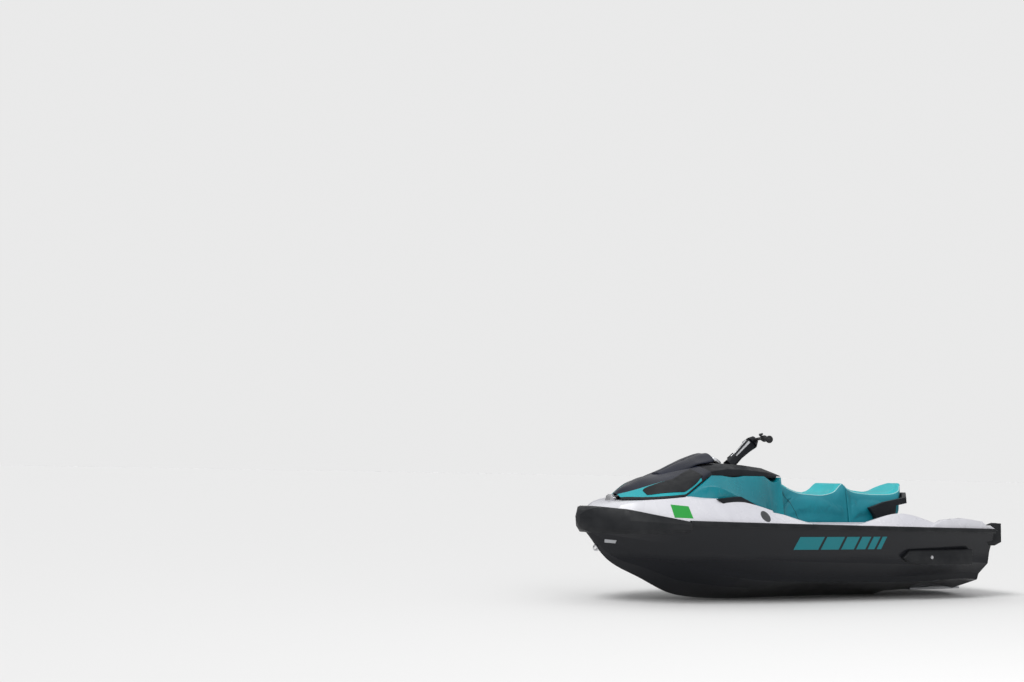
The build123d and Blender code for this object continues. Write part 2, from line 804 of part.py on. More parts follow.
def make_pump_housing():
    inner = impeller_radius + impeller_gap
    outer = inner + pump_wall
    exit_inner = venturi_radius
    body = ring([(pump_front_x, inner), (pump_front_x, outer + 16), (pump_front_x - 14, outer + 16),
                 (pump_front_x - 14, outer), (pump_rear_x, outer), (venturi_x + 30, exit_inner + pump_wall),
                 (venturi_x, exit_inner + pump_wall),
                 (venturi_x, exit_inner), (pump_rear_x, inner)])
    cone = ring([(pump_rear_x + 110, 0), (pump_rear_x + 110, 34), (pump_rear_x, 34),
                 (pump_rear_x - 60, 12), (pump_rear_x - 66, 0)])
    vane = prism_xy([(pump_rear_x + 96, -3), (pump_rear_x + 10, -3), (pump_rear_x + 10, 3),
                     (pump_rear_x + 96, 3)], pump_z + 30, pump_z + inner + 3)
    line = Axis((0, 0, pump_z), (1, 0, 0))
    cone -= rod((pump_rear_x + 55, 0, pump_z), (pump_rear_x + 120, 0, pump_z), tail_radius + pin_gap)
    for turn in range(0, 360, 60):
        cone += vane.rotate(line, turn)
    foot = block(pump_rear_x + 40, pump_front_x - 62, -tunnel_half_width + 4, tunnel_half_width - 4,
                 pump_z + outer - 6, tunnel_top_z - fit_gap)
    foot -= rod((pump_rear_x, 0, pump_z), (pump_front_x, 0, pump_z), outer - 2)
    housing = body + cone + foot
    top = tunnel_top_z
    for side in (1, -1):
        low, high = sorted((side * cheek_y, side * (cheek_y + cheek_wall)))
        housing += prism_xz([(pump_rear_x + 100, top - 5), (pump_rear_x + 40, top - 5),
                             (bucket_pivot_x - 18, pump_z + 16), (bucket_pivot_x - 18, pump_z - 16),
                             (bucket_pivot_x + 14, pump_z - 16), (pump_rear_x + 100, top - 45)], low, high)
        end = side * (cheek_y + cheek_wall + 12)
        housing += rod((bucket_pivot_x, side * cheek_y, pump_z), (bucket_pivot_x, end, pump_z), 7)
        ear = ear_height() + 1
        z_low, z_high = sorted((pump_z + side * ear, pump_z + side * (ear + 8)))
        housing += block(nozzle_pivot_x - 14, venturi_x + 44, -13, 13, z_low, z_high)
        z_low, z_high = sorted((pump_z + side * (venturi_radius + 12), pump_z + side * (ear + 8)))
        housing += block(venturi_x + 26, venturi_x + 44, -13, 13, z_low, z_high)
        housing += rod((nozzle_pivot_x, 0, pump_z + side * (ear + 4)),
                       (nozzle_pivot_x, 0, pump_z + side * (ear - 8)), pivot_pin_radius)
    return housing


def ear_height():
    """Top of the steering nozzle's pivot bosses above the pump's line."""
    return nozzle_inner_radius() + nozzle_wall + 4


def nozzle_inner_radius():
    return venturi_radius + pump_wall + nozzle_gap


def make_impeller():
    """Hub, three swept blades and the shaft that runs forward to the engine."""
    hub_front = pump_front_x - 40
    hub_rear = pump_rear_x + 128
    hub = ring([(hub_front + 34, 0), (hub_front, 24), (hub_rear, 34), (hub_rear, 0)])
    line = Axis((0, 0, pump_z), (1, 0, 0))
    low, high = pump_z + 20, pump_z + impeller_radius - 2
    sections = []
    for step in range(5):
        x = hub_rear + 6 + step * (hub_front - hub_rear - 6) / 4
        edge = polygon([(x, -blade_half, low), (x, blade_half, low), (x, blade_half, high), (x, -blade_half, high)])
        sections.append(edge.rotate(line, step * blade_sweep / 4))
    blade = loft(sections, ruled=True)
    wheel = hub
    for turn in range(0, 360, 120):
        wheel += blade.rotate(line, turn)
    tail = rod((hub_rear, 0, pump_z), (pump_rear_x + 60, 0, pump_z), tail_radius)
    shaft = tail + rod((hub_front, 0, pump_z), (engine_rear_x - bay_gap, 0, pump_z), shaft_radius)
    return wheel + shaft


def make_steering_nozzle():
    """Swivelling outlet, with a pivot boss above and below and the cable's arm to port."""
    inner = nozzle_inner_radius()
    x = nozzle_pivot_x
    rear = x - nozzle_length
    front = x + 4
    ear = ear_height()
    cup = ring([(front, 0), (front, inner + nozzle_wall), (x - 20, inner + nozzle_wall),
                (rear, venturi_radius + nozzle_wall), (rear, 0)])
    cup += rod((x, 0, pump_z - ear), (x, 0, pump_z + ear), 12)
    cup += block(x - 12, x + 12, inner + nozzle_wall / 2, cheek_y - 9, pump_z - 5, pump_z + 5)
    cup -= ring([(front + 1, 0), (front + 1, inner), (x - 20, inner), (rear, venturi_radius),
                 (rear - 1, venturi_radius), (rear - 1, 0)])
    cup -= rod((x, 0, pump_z - ear - 1), (x, 0, pump_z + ear + 1), pivot_pin_radius + pin_gap)
    return cup.rotate(Axis((x, 0, pump_z), (0, 0, 1)), rest_turn * nozzle_turn_ratio)


def make_bucket():
    """Reverse bucket, raised above the nozzle on its two side arms."""
    x = bucket_pivot_x
    inner_y = cheek_y + cheek_wall + 3
    outer_y = inner_y + bucket_wall
    shell = rod((x, -outer_y, pump_z), (x, outer_y, pump_z), bucket_radius)
    shell -= rod((x, -inner_y, pump_z), (x, inner_y, pump_z), bucket_radius - bucket_wall)
    far = bucket_radius * 2
    keep = prism_xz([(x, pump_z), (x + 34, pump_z + far), (x - far, pump_z + far), (x - far, pump_z + 80)],
                    -outer_y - 1, outer_y + 1)
    shell = shell & keep
    for side in (1, -1):
        low, high = sorted((side * inner_y, side * outer_y))
        shell += prism_xz([(x + 14, pump_z - 15), (x + 18, pump_z + 60), (x - 60, pump_z + 60),
                           (x - 16, pump_z - 15)], low, high)
        shell -= rod((x, side * (inner_y - 1), pump_z), (x, side * (outer_y + 1), pump_z), 7 + pin_gap)
    return shell


def make_ride_plate():
    half = tunnel_half_width - fit_gap
    return block(transom_x - 70, pump_front_x + 20, -half, half, plate_z, plate_z + plate_thickness)


def make_intake_grate():
    half = tunnel_half_width - fit_gap
    front = pump_front_x + intake_length
    rear = pump_front_x + 20 + fit_gap
    high = plate_z + grate_thickness
    grate = block(rear, rear + 18, -half, half, plate_z, high)
    grate += block(front - 18, front, -half, half, plate_z, high)
    for share in (-0.7, -0.35, 0, 0.35, 0.7):
        y = share * half
        grate += block(rear, front, y - 5, y + 5, plate_z, high)
    return grate


def make_sponson(hull):
    """Port side blade, with a pointed nose and a level foot."""
    blade = prism_xz([(-640, 306), (-700, 358), (-1290, 362), (-1302, 340), (-1296, 246), (-860, 250),
                      (-690, 276)], hull_half_beam - 130, hull_half_beam - 48)
    edges = blade.faces().sort_by(Axis.Y)[-1].edges()
    blade = chamfer(edges, 9)
    blade = blade - hull
    return max(blade.solids(), key=lambda s: s.volume)


def make_stern_bumper(deck):
    """Port corner bumper: a cap round the platform's corner, sloping down to a lower lip aft."""
    rear = platform_rear_x()
    reach = stern_bumper_reach
    outer = platform_half_width + 2
    top = platform_top_z()
    low = top - platform_thickness - bumper_skirt
    cap = prism_xy([(rear + 290, outer - 20), (rear + 290, outer), (rear + 92, outer - 4),
                    (rear + 42, outer - 52), (rear - reach, outer - 122), (rear - reach, outer - 220),
                    (rear + 12, outer - 220), (rear + 60, outer - 96), (rear + 130, outer - 40)],
                   low, top + bumper_rise)
    side = prism_xz([(rear + 290, top - 18), (rear + 243, top + bumper_rise - 20), (rear + 160, top + bumper_rise),
                     (rear + 73, top + bumper_rise - 6), (rear + 31, top - 4), (rear - reach, top - 43),
                     (rear - reach, top - 92), (rear + 84, top - 97), (rear + 158, low), (rear + 200, low),
                     (rear + 290, top - 60)], 0, hull_half_beam)
    cap = (cap & side) - deck - hull_form()
    return max(cap.solids(), key=lambda s: s.volume)


def make_engine():
    rear = engine_rear_x
    half = engine_width / 2
    low = engine_floor_z()
    return block(rear, rear + engine_length, -half, half, low, low + engine_height)


def make_display():
    """Round gauge in its hood, ahead of the steering."""
    plane = Plane(origin=(gauge_x, 0, gunwale_height + 430), z_dir=(-0.5, 0, 0.866), x_dir=(0.866, 0, 0.5))
    return extrude(plane * Circle(gauge_radius), amount=26) - console_form()


def make_vent(deck, cowl):
    """Air inlet on the port shoulder, between cowl and deck."""
    points = [(905, 184), (715, 203), (585, 147), (700, 120), (844, 143)]
    wedge = prism_xz([(x, gunwale_height + z) for x, z in points], 360, 462)
    vent = wedge - deck - cowl
    return max(vent.solids(), key=lambda s: s.volume)


def step_pivot():
    return platform_rear_x() + step_pivot_inset, platform_top_z() - platform_thickness - step_drop


def make_step():
    """Boarding step, folded forward below the rear platform on two arms."""
    x, z = step_pivot()
    bar_x = x + step_reach
    step = rod((bar_x, -step_half_width, z), (bar_x, step_half_width, z), step_bar_radius)
    for y in (-step_half_width, step_half_width):
        step += block(x, bar_x, y - 8, y + 8, z - 11, z + 11)
        step += rod((x, y - 12, z), (x, y + 12, z), 16)
        step += rod((bar_x, y - 8, z), (bar_x, y + 8, z), step_bar_radius + 2)
        step -= rod((x, y - 20, z), (x, y + 20, z), step_pin_radius + pin_gap)
    return step


def make_step_bracket():
    x, z = step_pivot()
    high = platform_top_z() - platform_thickness - fit_gap
    bracket = None
    for side in (1, -1):
        y = side * (step_half_width + 26)
        ear = block(x - 18, x + 18, y - 5, y + 5, z - 16, high)
        ear += rod((x, y, z), (x, side * (step_half_width - 12), z), step_pin_radius)
        bracket = ear if bracket is None else bracket + ear
    return bracket


def make_well_mat():
    """Soft mat on the floor of the port footwell."""
    return block(well_rear_x + well_step + 12, well_front_x - well_step - 12, well_inner_y + 8,
                 well_floor_y - 8, well_floor_z, well_floor_z + mat_thickness)


def make_platform_mat():
    rear = platform_rear_x() + 24
    half = platform_half_width - 92
    top = platform_top_z()
    mat = prism_xy([(platform_front_x - 8, half - 40), (platform_front_x - 70, half), (rear + 110, half),
                    (rear, half - 125), (rear, -half + 125), (rear + 110, -half),
                    (platform_front_x - 70, -half), (platform_front_x - 8, -half + 40)],
                   top, top + mat_thickness)
    x = platform_rear_x() + 40
    return mat - block(x - 34, x + 34, -26, 26, top - 1, top + 20)


def make_drain_plugs():
    """Two screw plugs at the foot of the transom."""
    plugs = None
    for y in (-190, 190):
        plug = rod((transom_x - fit_gap, y, 150), (transom_x - 14, y, 150), 17)
        plug += block(transom_x - 22, transom_x - 12, y - 12, y + 12, 147, 153)
        plugs = plug if plugs is None else plugs + plug
    return plugs


def make_tow_hook():
    x = platform_rear_x() + 40
    base = platform_top_z() + fit_gap
    hook = block(x - 30, x + 30, -22, 22, base, base + 8)
    eye = rod((x - 6, 0, base + 30), (x + 6, 0, base + 30), 24)
    eye -= rod((x - 7, 0, base + 30), (x + 7, 0, base + 30), 14)
    return hook + eye


def make_bow_eye(hull):
    x = 1573
    z = 376
    eye = rod((x + 6, -6, z - 10), (x + 6, 6, z - 10), 24)
    eye -= hull
    eye = max(eye.solids(), key=lambda s: s.volume)
    return eye - rod((x + 14, -7, z - 13), (x + 14, 7, z - 13), 9)


def main():
    hull = make_hull()
    deck = make_deck()
    cowl = make_cowl(deck)
    hood = make_hood()
    console = make_console()
    bar = make_handlebar()
    nodes = {
        "hull": hull,
        "deck": deck,
        "bow_bumper": make_bow_bumper(),
        "cowl": cowl,
        "console": console,
        "gauge_display": make_display(),
        "hood": hood,
        "hood_hinge": make_hood_hinge(deck),
        "glovebox_lid": make_glovebox_lid(),
        "seat_front": make_seat(SEAT_FRONT_ROWS, deck),
        "seat_rear": cut_tail(make_seat(SEAT_REAR_ROWS, deck)),
        "grab_handle": make_grab_handle(deck),
        "engine_block": make_engine(),
        "pump_housing": make_pump_housing(),
        "impeller": make_impeller(),
        "steering_nozzle": make_steering_nozzle(),
        "reverse_bucket": make_bucket(),
        "ride_plate": make_ride_plate(),
        "intake_grate": make_intake_grate(),
        "boarding_step": make_step(),
        "step_bracket": make_step_bracket(),
        "platform_mat": make_platform_mat(),
        "drain_plugs": make_drain_plugs(),
        "tow_eye": make_tow_hook(),
        "bow_eye": make_bow_eye(hull),
        "steering_neck": turned(make_steering_neck()),
        "handlebar": turned(bar),
        "steering_cover": turned(make_steering_cover(bar)),
        "throttle_lever": turned(make_lever(-1, 70, bar)),
        "brake_lever": turned(make_lever(1, 78, bar)),
    }
    pairs = {
        "rub_rail": make_rail(deck),
        "mirror_housing": make_mirror(hood),
        "mirror_glass": make_mirror_glass(),
        "footwell_mat": make_well_mat(),
        "sponson": make_sponson(hull),
        "stern_bumper": make_stern_bumper(deck),
        "side_vent": make_vent(deck, cowl),
    }
    for name, solid in pairs.items():
        nodes[name + "_left"], nodes[name + "_right"] = port_and_starboard(solid)
    grip = make_grip(bar)
    nodes["grip_left"] = turned(grip)
    nodes["grip_right"] = turned(mirror(grip, about=Plane.XZ))
    os.makedirs("parts", exist_ok=True)
    for name, solid in nodes.items():
        export_step(solid.moved(Location((0, 0, -draft))), f"parts/{name}.step")
        print(name, len(solid.solids()), round(solid.volume / 1e6, 2), solid.is_valid)


main()
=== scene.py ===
import json
from math import cos, pi, radians, sin

import bpy
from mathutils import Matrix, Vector

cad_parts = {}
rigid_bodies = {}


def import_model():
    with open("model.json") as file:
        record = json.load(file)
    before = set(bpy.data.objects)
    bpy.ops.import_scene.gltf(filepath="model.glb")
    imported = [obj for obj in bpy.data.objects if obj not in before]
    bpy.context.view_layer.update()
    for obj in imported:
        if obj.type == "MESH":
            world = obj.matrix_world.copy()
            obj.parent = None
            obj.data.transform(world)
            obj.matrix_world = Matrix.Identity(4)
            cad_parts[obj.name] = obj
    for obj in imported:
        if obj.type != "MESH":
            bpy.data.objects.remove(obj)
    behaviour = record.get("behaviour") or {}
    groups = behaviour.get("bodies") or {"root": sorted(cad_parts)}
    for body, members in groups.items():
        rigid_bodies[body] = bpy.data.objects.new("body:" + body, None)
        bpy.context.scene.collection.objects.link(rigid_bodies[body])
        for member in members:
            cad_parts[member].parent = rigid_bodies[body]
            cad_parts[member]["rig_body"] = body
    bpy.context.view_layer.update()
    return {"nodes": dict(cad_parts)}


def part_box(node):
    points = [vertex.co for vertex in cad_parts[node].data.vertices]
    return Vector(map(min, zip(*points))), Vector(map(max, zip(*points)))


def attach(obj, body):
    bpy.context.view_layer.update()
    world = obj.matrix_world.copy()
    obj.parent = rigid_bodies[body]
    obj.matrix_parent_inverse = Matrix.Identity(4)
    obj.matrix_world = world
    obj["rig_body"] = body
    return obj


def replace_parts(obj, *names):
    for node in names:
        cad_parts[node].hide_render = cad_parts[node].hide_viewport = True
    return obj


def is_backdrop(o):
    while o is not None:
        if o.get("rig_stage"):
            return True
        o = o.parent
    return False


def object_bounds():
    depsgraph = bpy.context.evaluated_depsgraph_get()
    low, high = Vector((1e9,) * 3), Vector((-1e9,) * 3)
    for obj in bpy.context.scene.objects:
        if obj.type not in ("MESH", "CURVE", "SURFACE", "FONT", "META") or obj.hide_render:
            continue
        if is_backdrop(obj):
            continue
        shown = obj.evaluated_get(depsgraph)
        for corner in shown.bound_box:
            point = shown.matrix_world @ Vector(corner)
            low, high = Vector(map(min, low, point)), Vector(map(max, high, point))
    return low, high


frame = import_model()
nodes = frame["nodes"]
bpy.ops.object.select_all(action="DESELECT")


# Hull: one glass-fibre moulding with a stepped vee bottom, sprayed in black gelcoat.
# It is laid up in a polished tool, so it shines, and lies on its keel. Salt dulls it a little, and its lower
# part is painted darker as a painted reflection of the shade under it.
keel_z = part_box("hull")[0].z
hull_black = (0.004, 0.005, 0.008)
hull_black_upper_salt_and_light = (0.015, 0.016, 0.019)
hull_edge = 0.005


def new_finish(name, colour, roughness, metallic=0.0, coat=0.0, shine=0.5):
    """A material with plain values on its shader."""
    material = bpy.data.materials.new(name)
    material.use_nodes = True
    shader = material.node_tree.nodes["Principled BSDF"]
    shader.inputs["Base Color"].default_value = (*colour, 1)
    shader.inputs["Roughness"].default_value = roughness
    shader.inputs["Metallic"].default_value = metallic
    shader.inputs["Specular IOR Level"].default_value = shine
    shader.inputs["Coat Weight"].default_value = coat
    shader.inputs["Coat Roughness"].default_value = 0.06
    return material


def noise_over(material, scale, stretch=(1, 1, 1), detail=3.0):
    """Noise over the piece's own coordinates, with its scale per metre."""
    tree = material.node_tree
    place = tree.nodes.new("ShaderNodeTexCoord")
    mapping = tree.nodes.new("ShaderNodeMapping")
    mapping.inputs["Scale"].default_value = stretch
    noise = tree.nodes.new("ShaderNodeTexNoise")
    noise.inputs["Scale"].default_value = scale
    noise.inputs["Detail"].default_value = detail
    tree.links.new(place.outputs["Object"], mapping.inputs["Vector"])
    tree.links.new(mapping.outputs["Vector"], noise.inputs["Vector"])
    return noise.outputs["Fac"]


def cells_over(material, scale, stretch=(1, 1, 1), feature="F1"):
    """Distance to scattered points over the piece's own coordinates, as in leather grain."""
    tree = material.node_tree
    place = tree.nodes.new("ShaderNodeTexCoord")
    mapping = tree.nodes.new("ShaderNodeMapping")
    mapping.inputs["Scale"].default_value = stretch
    cells = tree.nodes.new("ShaderNodeTexVoronoi")
    cells.feature = feature
    cells.inputs["Scale"].default_value = scale
    tree.links.new(place.outputs["Object"], mapping.inputs["Vector"])
    tree.links.new(mapping.outputs["Vector"], cells.inputs["Vector"])
    return cells.outputs["Distance"]


def colour_between(material, source, dark, light, low=0.38, high=0.62):
    """Base colour that wanders between two shades."""
    tree = material.node_tree
    ramp = tree.nodes.new("ShaderNodeValToRGB")
    ramp.color_ramp.elements[0].position = low
    ramp.color_ramp.elements[0].color = (*dark, 1)
    ramp.color_ramp.elements[1].position = high
    ramp.color_ramp.elements[1].color = (*light, 1)
    tree.links.new(source, ramp.inputs["Fac"])
    tree.links.new(ramp.outputs["Color"], tree.nodes["Principled BSDF"].inputs["Base Color"])


def gloss_between(material, source, low, high):
    """Roughness that wanders between two values."""
    tree = material.node_tree
    spread = tree.nodes.new("ShaderNodeMapRange")
    spread.inputs["From Min"].default_value = 0.3
    spread.inputs["From Max"].default_value = 0.7
    spread.inputs["To Min"].default_value = low
    spread.inputs["To Max"].default_value = high
    tree.links.new(source, spread.inputs["Value"])
    tree.links.new(spread.outputs["Result"], tree.nodes["Principled BSDF"].inputs["Roughness"])


def relief(material, source, height):
    """Bump of the given height in metres, over any relief that is there already."""
    tree = material.node_tree
    normal = tree.nodes["Principled BSDF"].inputs["Normal"]
    bump = tree.nodes.new("ShaderNodeBump")
    bump.inputs["Distance"].default_value = height
    if normal.is_linked:
        tree.links.new(normal.links[0].from_socket, bump.inputs["Normal"])
    tree.links.new(source, bump.inputs["Height"])
    tree.links.new(bump.outputs["Normal"], normal)


def pick(piece):
    """Makes one piece the only selected one."""
    bpy.ops.object.select_all(action="DESELECT")
    piece.select_set(True)
    bpy.context.view_layer.objects.active = piece


def work(piece, kind, **settings):
    """Adds one modifier and applies it."""
    modifier = piece.modifiers.new(kind.lower(), kind)
    for key, value in settings.items():
        setattr(modifier, key, value)
    pick(piece)
    bpy.ops.object.modifier_apply(modifier=modifier.name)


def finish(piece, body, material, smooth=35):
    """Paints a piece, smooths its shading up to an angle and lets it ride on its body."""
    piece.data.materials.clear()
    piece.data.materials.append(material)
    pick(piece)
    bpy.ops.object.shade_smooth_by_angle(angle=radians(smooth))
    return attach(piece, body)


def dressed(name, material, edge, smooth=35, steps=2):
    """A welded copy of a rigid node with its sharp edges rounded, which stands for the node."""
    piece = bpy.data.objects.new(name + "_dressed", nodes[name].data.copy())
    bpy.context.scene.collection.objects.link(piece)
    pick(piece)
    bpy.ops.object.mode_set(mode="EDIT")
    bpy.ops.mesh.select_all(action="SELECT")
    bpy.ops.mesh.customdata_custom_splitnormals_clear()
    bpy.ops.mesh.remove_doubles(threshold=0.00002)
    bpy.ops.mesh.dissolve_limited(angle_limit=radians(0.5))
    bpy.ops.object.mode_set(mode="OBJECT")
    if edge:
        work(piece, "BEVEL", width=edge, segments=steps, limit_method="ANGLE", angle_limit=radians(smooth),
             use_clamp_overlap=True)
    finish(piece, nodes[name]["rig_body"], material, smooth)
    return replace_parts(piece, name)


def height_over(material, low, high, wander):
    """0 below one height and 1 above another, with an edge that wanders a little."""
    tree = material.node_tree
    place = tree.nodes.new("ShaderNodeTexCoord")
    split = tree.nodes.new("ShaderNodeSeparateXYZ")
    tree.links.new(place.outputs["Object"], split.inputs["Vector"])
    lift = tree.nodes.new("ShaderNodeMath")
    lift.operation = "MULTIPLY_ADD"
    tree.links.new(noise_over(material, 3), lift.inputs[0])
    lift.inputs[1].default_value = wander
    tree.links.new(split.outputs["Z"], lift.inputs[2])
    step = tree.nodes.new("ShaderNodeMapRange")
    step.inputs["From Min"].default_value = low
    step.inputs["From Max"].default_value = high
    tree.links.new(lift.outputs["Value"], step.inputs["Value"])
    return step.outputs["Result"]


hull_finish = new_finish("hull_gelcoat", hull_black, 0.24, shine=0.22)
# Painted reflection: the hull is darker below a wandering height, standing for the ground's shade mirrored in
# it; the lighter tone above is partly a salt film.
colour_between(hull_finish, height_over(hull_finish, 0.07, 0.13, 0.06), hull_black, hull_black_upper_salt_and_light, 0.1, 0.9)
gloss_between(hull_finish, noise_over(hull_finish, 9, (1, 1, 2)), 0.14, 0.26)
relief(hull_finish, noise_over(hull_finish, 90), 0.00001)
hull = dressed("hull", hull_finish, hull_edge, smooth=9)


# Deck: the white gelcoat moulding that closes the hull, with its two footwells and rear platform.
# It is bonded to the hull all round, under the rub rail.
white = (0.66, 0.66, 0.70)
white_shade = (0.60, 0.60, 0.65)
deck_finish = new_finish("deck_gelcoat", white, 0.22)
colour_between(deck_finish, noise_over(deck_finish, 2.6), white_shade, white)
gloss_between(deck_finish, noise_over(deck_finish, 11), 0.2, 0.34)
relief(deck_finish, noise_over(deck_finish, 90), 0.00001)
deck = dressed("deck", deck_finish, 0.006, smooth=34)
# The tips of the two raised lips are trimmed flush behind the corner bumpers.
trim_x, trim_y, trim_z = -1.609, 0.521, 0.262
lip_foot_z, lip_end_x = 0.24, -1.64
for point in deck.data.vertices:
    if point.co.x < trim_x and point.co.z > lip_foot_z:
        reach = trim_y + point.co.x - trim_x
        point.co.y = max(min(point.co.y, reach), -reach)
        point.co.z = min(point.co.z, trim_z + max(point.co.x - lip_end_x, 0))


# Rub rail, bumpers and sponsons: black moulded rubber and plastic, screwed to hull and deck.
rubber_black = (0.009, 0.010, 0.012)
rubber_dusty = (0.017, 0.018, 0.020)
rubber_finish = new_finish("bumper_rubber", rubber_black, 0.5, shine=0.22)
colour_between(rubber_finish, noise_over(rubber_finish, 7), rubber_black, rubber_dusty)
gloss_between(rubber_finish, noise_over(rubber_finish, 20), 0.42, 0.62)
relief(rubber_finish, noise_over(rubber_finish, 520), 0.00025)
for name in ("bow_bumper", "rub_rail_left", "rub_rail_right", "stern_bumper_left", "stern_bumper_right",
             "sponson_left", "sponson_right"):
    dressed(name, rubber_finish, 0.006, smooth=25)


# Vents, console, neck and other trim: black moulded plastic with a fine leather grain.
plastic_black = (0.007, 0.008, 0.011)
plastic_grey = (0.012, 0.014, 0.018)
plastic_finish = new_finish("moulded_plastic", plastic_black, 0.45, shine=0.22)
colour_between(plastic_finish, noise_over(plastic_finish, 5), plastic_black, plastic_grey)
gloss_between(plastic_finish, noise_over(plastic_finish, 26), 0.36, 0.55)
relief(plastic_finish, cells_over(plastic_finish, 700), 0.00015)
for name, edge in (("console", 0.010), ("side_vent_left", 0.004), ("side_vent_right", 0.004),
                   ("grab_handle", 0.010), ("drain_plugs", 0.0015), ("glovebox_lid", 0.005),
                   ("steering_neck", 0.004), ("steering_cover", 0.006)):
    dressed(name, plastic_finish, edge, smooth=25, steps=3)


# Cowl: teal gelcoat sides below the console, with a crease that runs down to the footwells.
teal = (0.003, 0.20, 0.255)
teal_light = (0.005, 0.25, 0.305)
cowl_finish = new_finish("teal_gelcoat", teal, 0.2)
colour_between(cowl_finish, noise_over(cowl_finish, 2.4), teal, teal_light)
gloss_between(cowl_finish, noise_over(cowl_finish, 10), 0.16, 0.3)
relief(cowl_finish, noise_over(cowl_finish, 90), 0.00001)
dressed("cowl", cowl_finish, 0.006, smooth=34, steps=3)


# Hood: navy gelcoat shell over the storage bin, hinged at its nose, with teal and black bands
# along its sides and a black rubber lip round its lower edge.
gunwale = keel_z + 0.526
sheer_slope = 0.021
hood_nose, hood_knee, hood_rear = (1.440, 0.692), (1.100, 0.726), (0.876, 0.878)
hood_wall = 0.005
hood_stations = 72
hood_inside = (1.15, 0, gunwale)
# Columns in mm: x, bottom half width, side half width, its share of the height, top half width,
# its share of the height, crown above the gunwale.
HOOD_ROWS = [
    (876, 346, 338, 0.22, 220, 0.62, 429),
    (970, 356, 346, 0.30, 210, 0.62, 409),
    (1100, 366, 340, 0.38, 185, 0.80, 358),
    (1236, 340, 290, 0.34, 150, 0.74, 326),
    (1340, 262, 205, 0.18, 105, 0.68, 279),
    (1400, 178, 132, 0.25, 60, 0.63, 248),
    (1440, 95, 70, 0.40, 40, 0.70, 212),
]


def slope(rows, k, column):
    """Rise of a column at row k, from the rows beside it."""
    back, ahead = rows[max(k - 1, 0)], rows[min(k + 1, len(rows) - 1)]
    return (ahead[column] - back[column]) / (ahead[0] - back[0])


def row_at(rows, x):
    """The columns of a table at x, on smooth lines through its rows."""
    rows = sorted(rows)
    k = sum(1 for row in rows[1:-1] if row[0] <= x)
    a, b = rows[k], rows[k + 1]
    width = b[0] - a[0]
    t = min(max((x - a[0]) / width, 0), 1)
    columns = []
    for c in range(1, len(a)):
        rise, next_rise, change = slope(rows, k, c) * width, slope(rows, k + 1, c) * width, b[c] - a[c]
        bend = 3 * change - 2 * rise - next_rise
        columns.append(a[c] + t * (rise + t * (bend + t * (rise + next_rise - 2 * change))))
    return columns


def rounded(points, radii, steps=5):
    """An open outline whose inner corners are rounded, each by its own radius."""
    points = [Vector(p) for p in points]
    outline = [points[0]]
    for before, corner, after, radius in zip(points, points[1:], points[2:], radii):
        start = corner + (before - corner) * min(0.48, radius / (before - corner).length)
        end = corner + (after - corner) * min(0.48, radius / (after - corner).length)
        for k in range(steps + 1):
            t = k / steps
            outline.append(start.lerp(corner, t).lerp(corner.lerp(end, t), t))
    return outline + [points[-1]]


def skin(name, lines):
    """A sheet through lines of points, started as a grid whose points are carried to their places."""
    along, over = len(lines) - 1, len(lines[0]) - 1
    bpy.ops.mesh.primitive_grid_add(x_subdivisions=along, y_subdivisions=over, size=1)
    sheet = bpy.context.object
    sheet.name = name
    for point in sheet.data.vertices:
        line = lines[round((point.co.x + 0.5) * along)]
        point.co = line[round((point.co.y + 0.5) * over)]
    return sheet


def turn_out(piece, inside):
    """Turns the faces of an open sheet away from a point inside."""
    faces = piece.data.polygons
    outward = sum((face.center - Vector(inside)).dot(face.normal) * face.area for face in faces)
    if outward < 0:
        pick(piece)
        bpy.ops.object.mode_set(mode="EDIT")
        bpy.ops.mesh.select_all(action="SELECT")
        bpy.ops.mesh.flip_normals()
        bpy.ops.object.mode_set(mode="OBJECT")


def close(piece):
    """Welds a piece's seam and fills its open ends."""
    pick(piece)
    bpy.ops.object.mode_set(mode="EDIT")
    bpy.ops.mesh.select_all(action="SELECT")
    bpy.ops.mesh.remove_doubles(threshold=0.0001)
    bpy.ops.mesh.fill_holes(sides=0)
    bpy.ops.mesh.select_all(action="SELECT")
    bpy.ops.mesh.normals_make_consistent(inside=False)
    bpy.ops.object.mode_set(mode="OBJECT")


def hood_low(x):
    """Height of the hood's lower edge, which kinks at its knee."""
    ahead, back = (hood_nose, hood_knee) if x > hood_knee[0] else (hood_knee, hood_rear)
    return keel_z + back[1] + (ahead[1] - back[1]) * (x - back[0]) / (ahead[0] - back[0])


def hood_half(x):
    """Port half of the hood's outline at x, from its lower edge to its crown."""
    by, sy, ss, ty, ts, crown = row_at(HOOD_ROWS, x * 1000)
    low, top = hood_low(x), gunwale + crown / 1000
    rise = top - low
    corners = [(x, by / 1000, low), (x, sy / 1000, low + ss * rise), (x, ty / 1000, low + ts * rise),
               (x, 0, top), (x, -ty / 1000, low + ts * rise)]
    return rounded(corners, (0.05, 0.07, 0.09))[:-3]


def whole(half):
    """Both sides of an outline that ends on the centre line, starboard edge first."""
    return [Vector((p.x, -p.y, p.z)) for p in half] + list(reversed(half[:-1]))


def on_line(line, share):
    """Point at a share of a line's length."""
    lengths = [(b - a).length for a, b in zip(line, line[1:])]
    left = share * sum(lengths)
    for a, b, length in zip(line, line[1:], lengths):
        if left <= length:
            return a.lerp(b, left / length)
        left -= length
    return line[-1]


def spaced(start, end, count):
    """Evenly spaced values from start to end."""
    return [start + (end - start) * k / (count - 1) for k in range(count)]


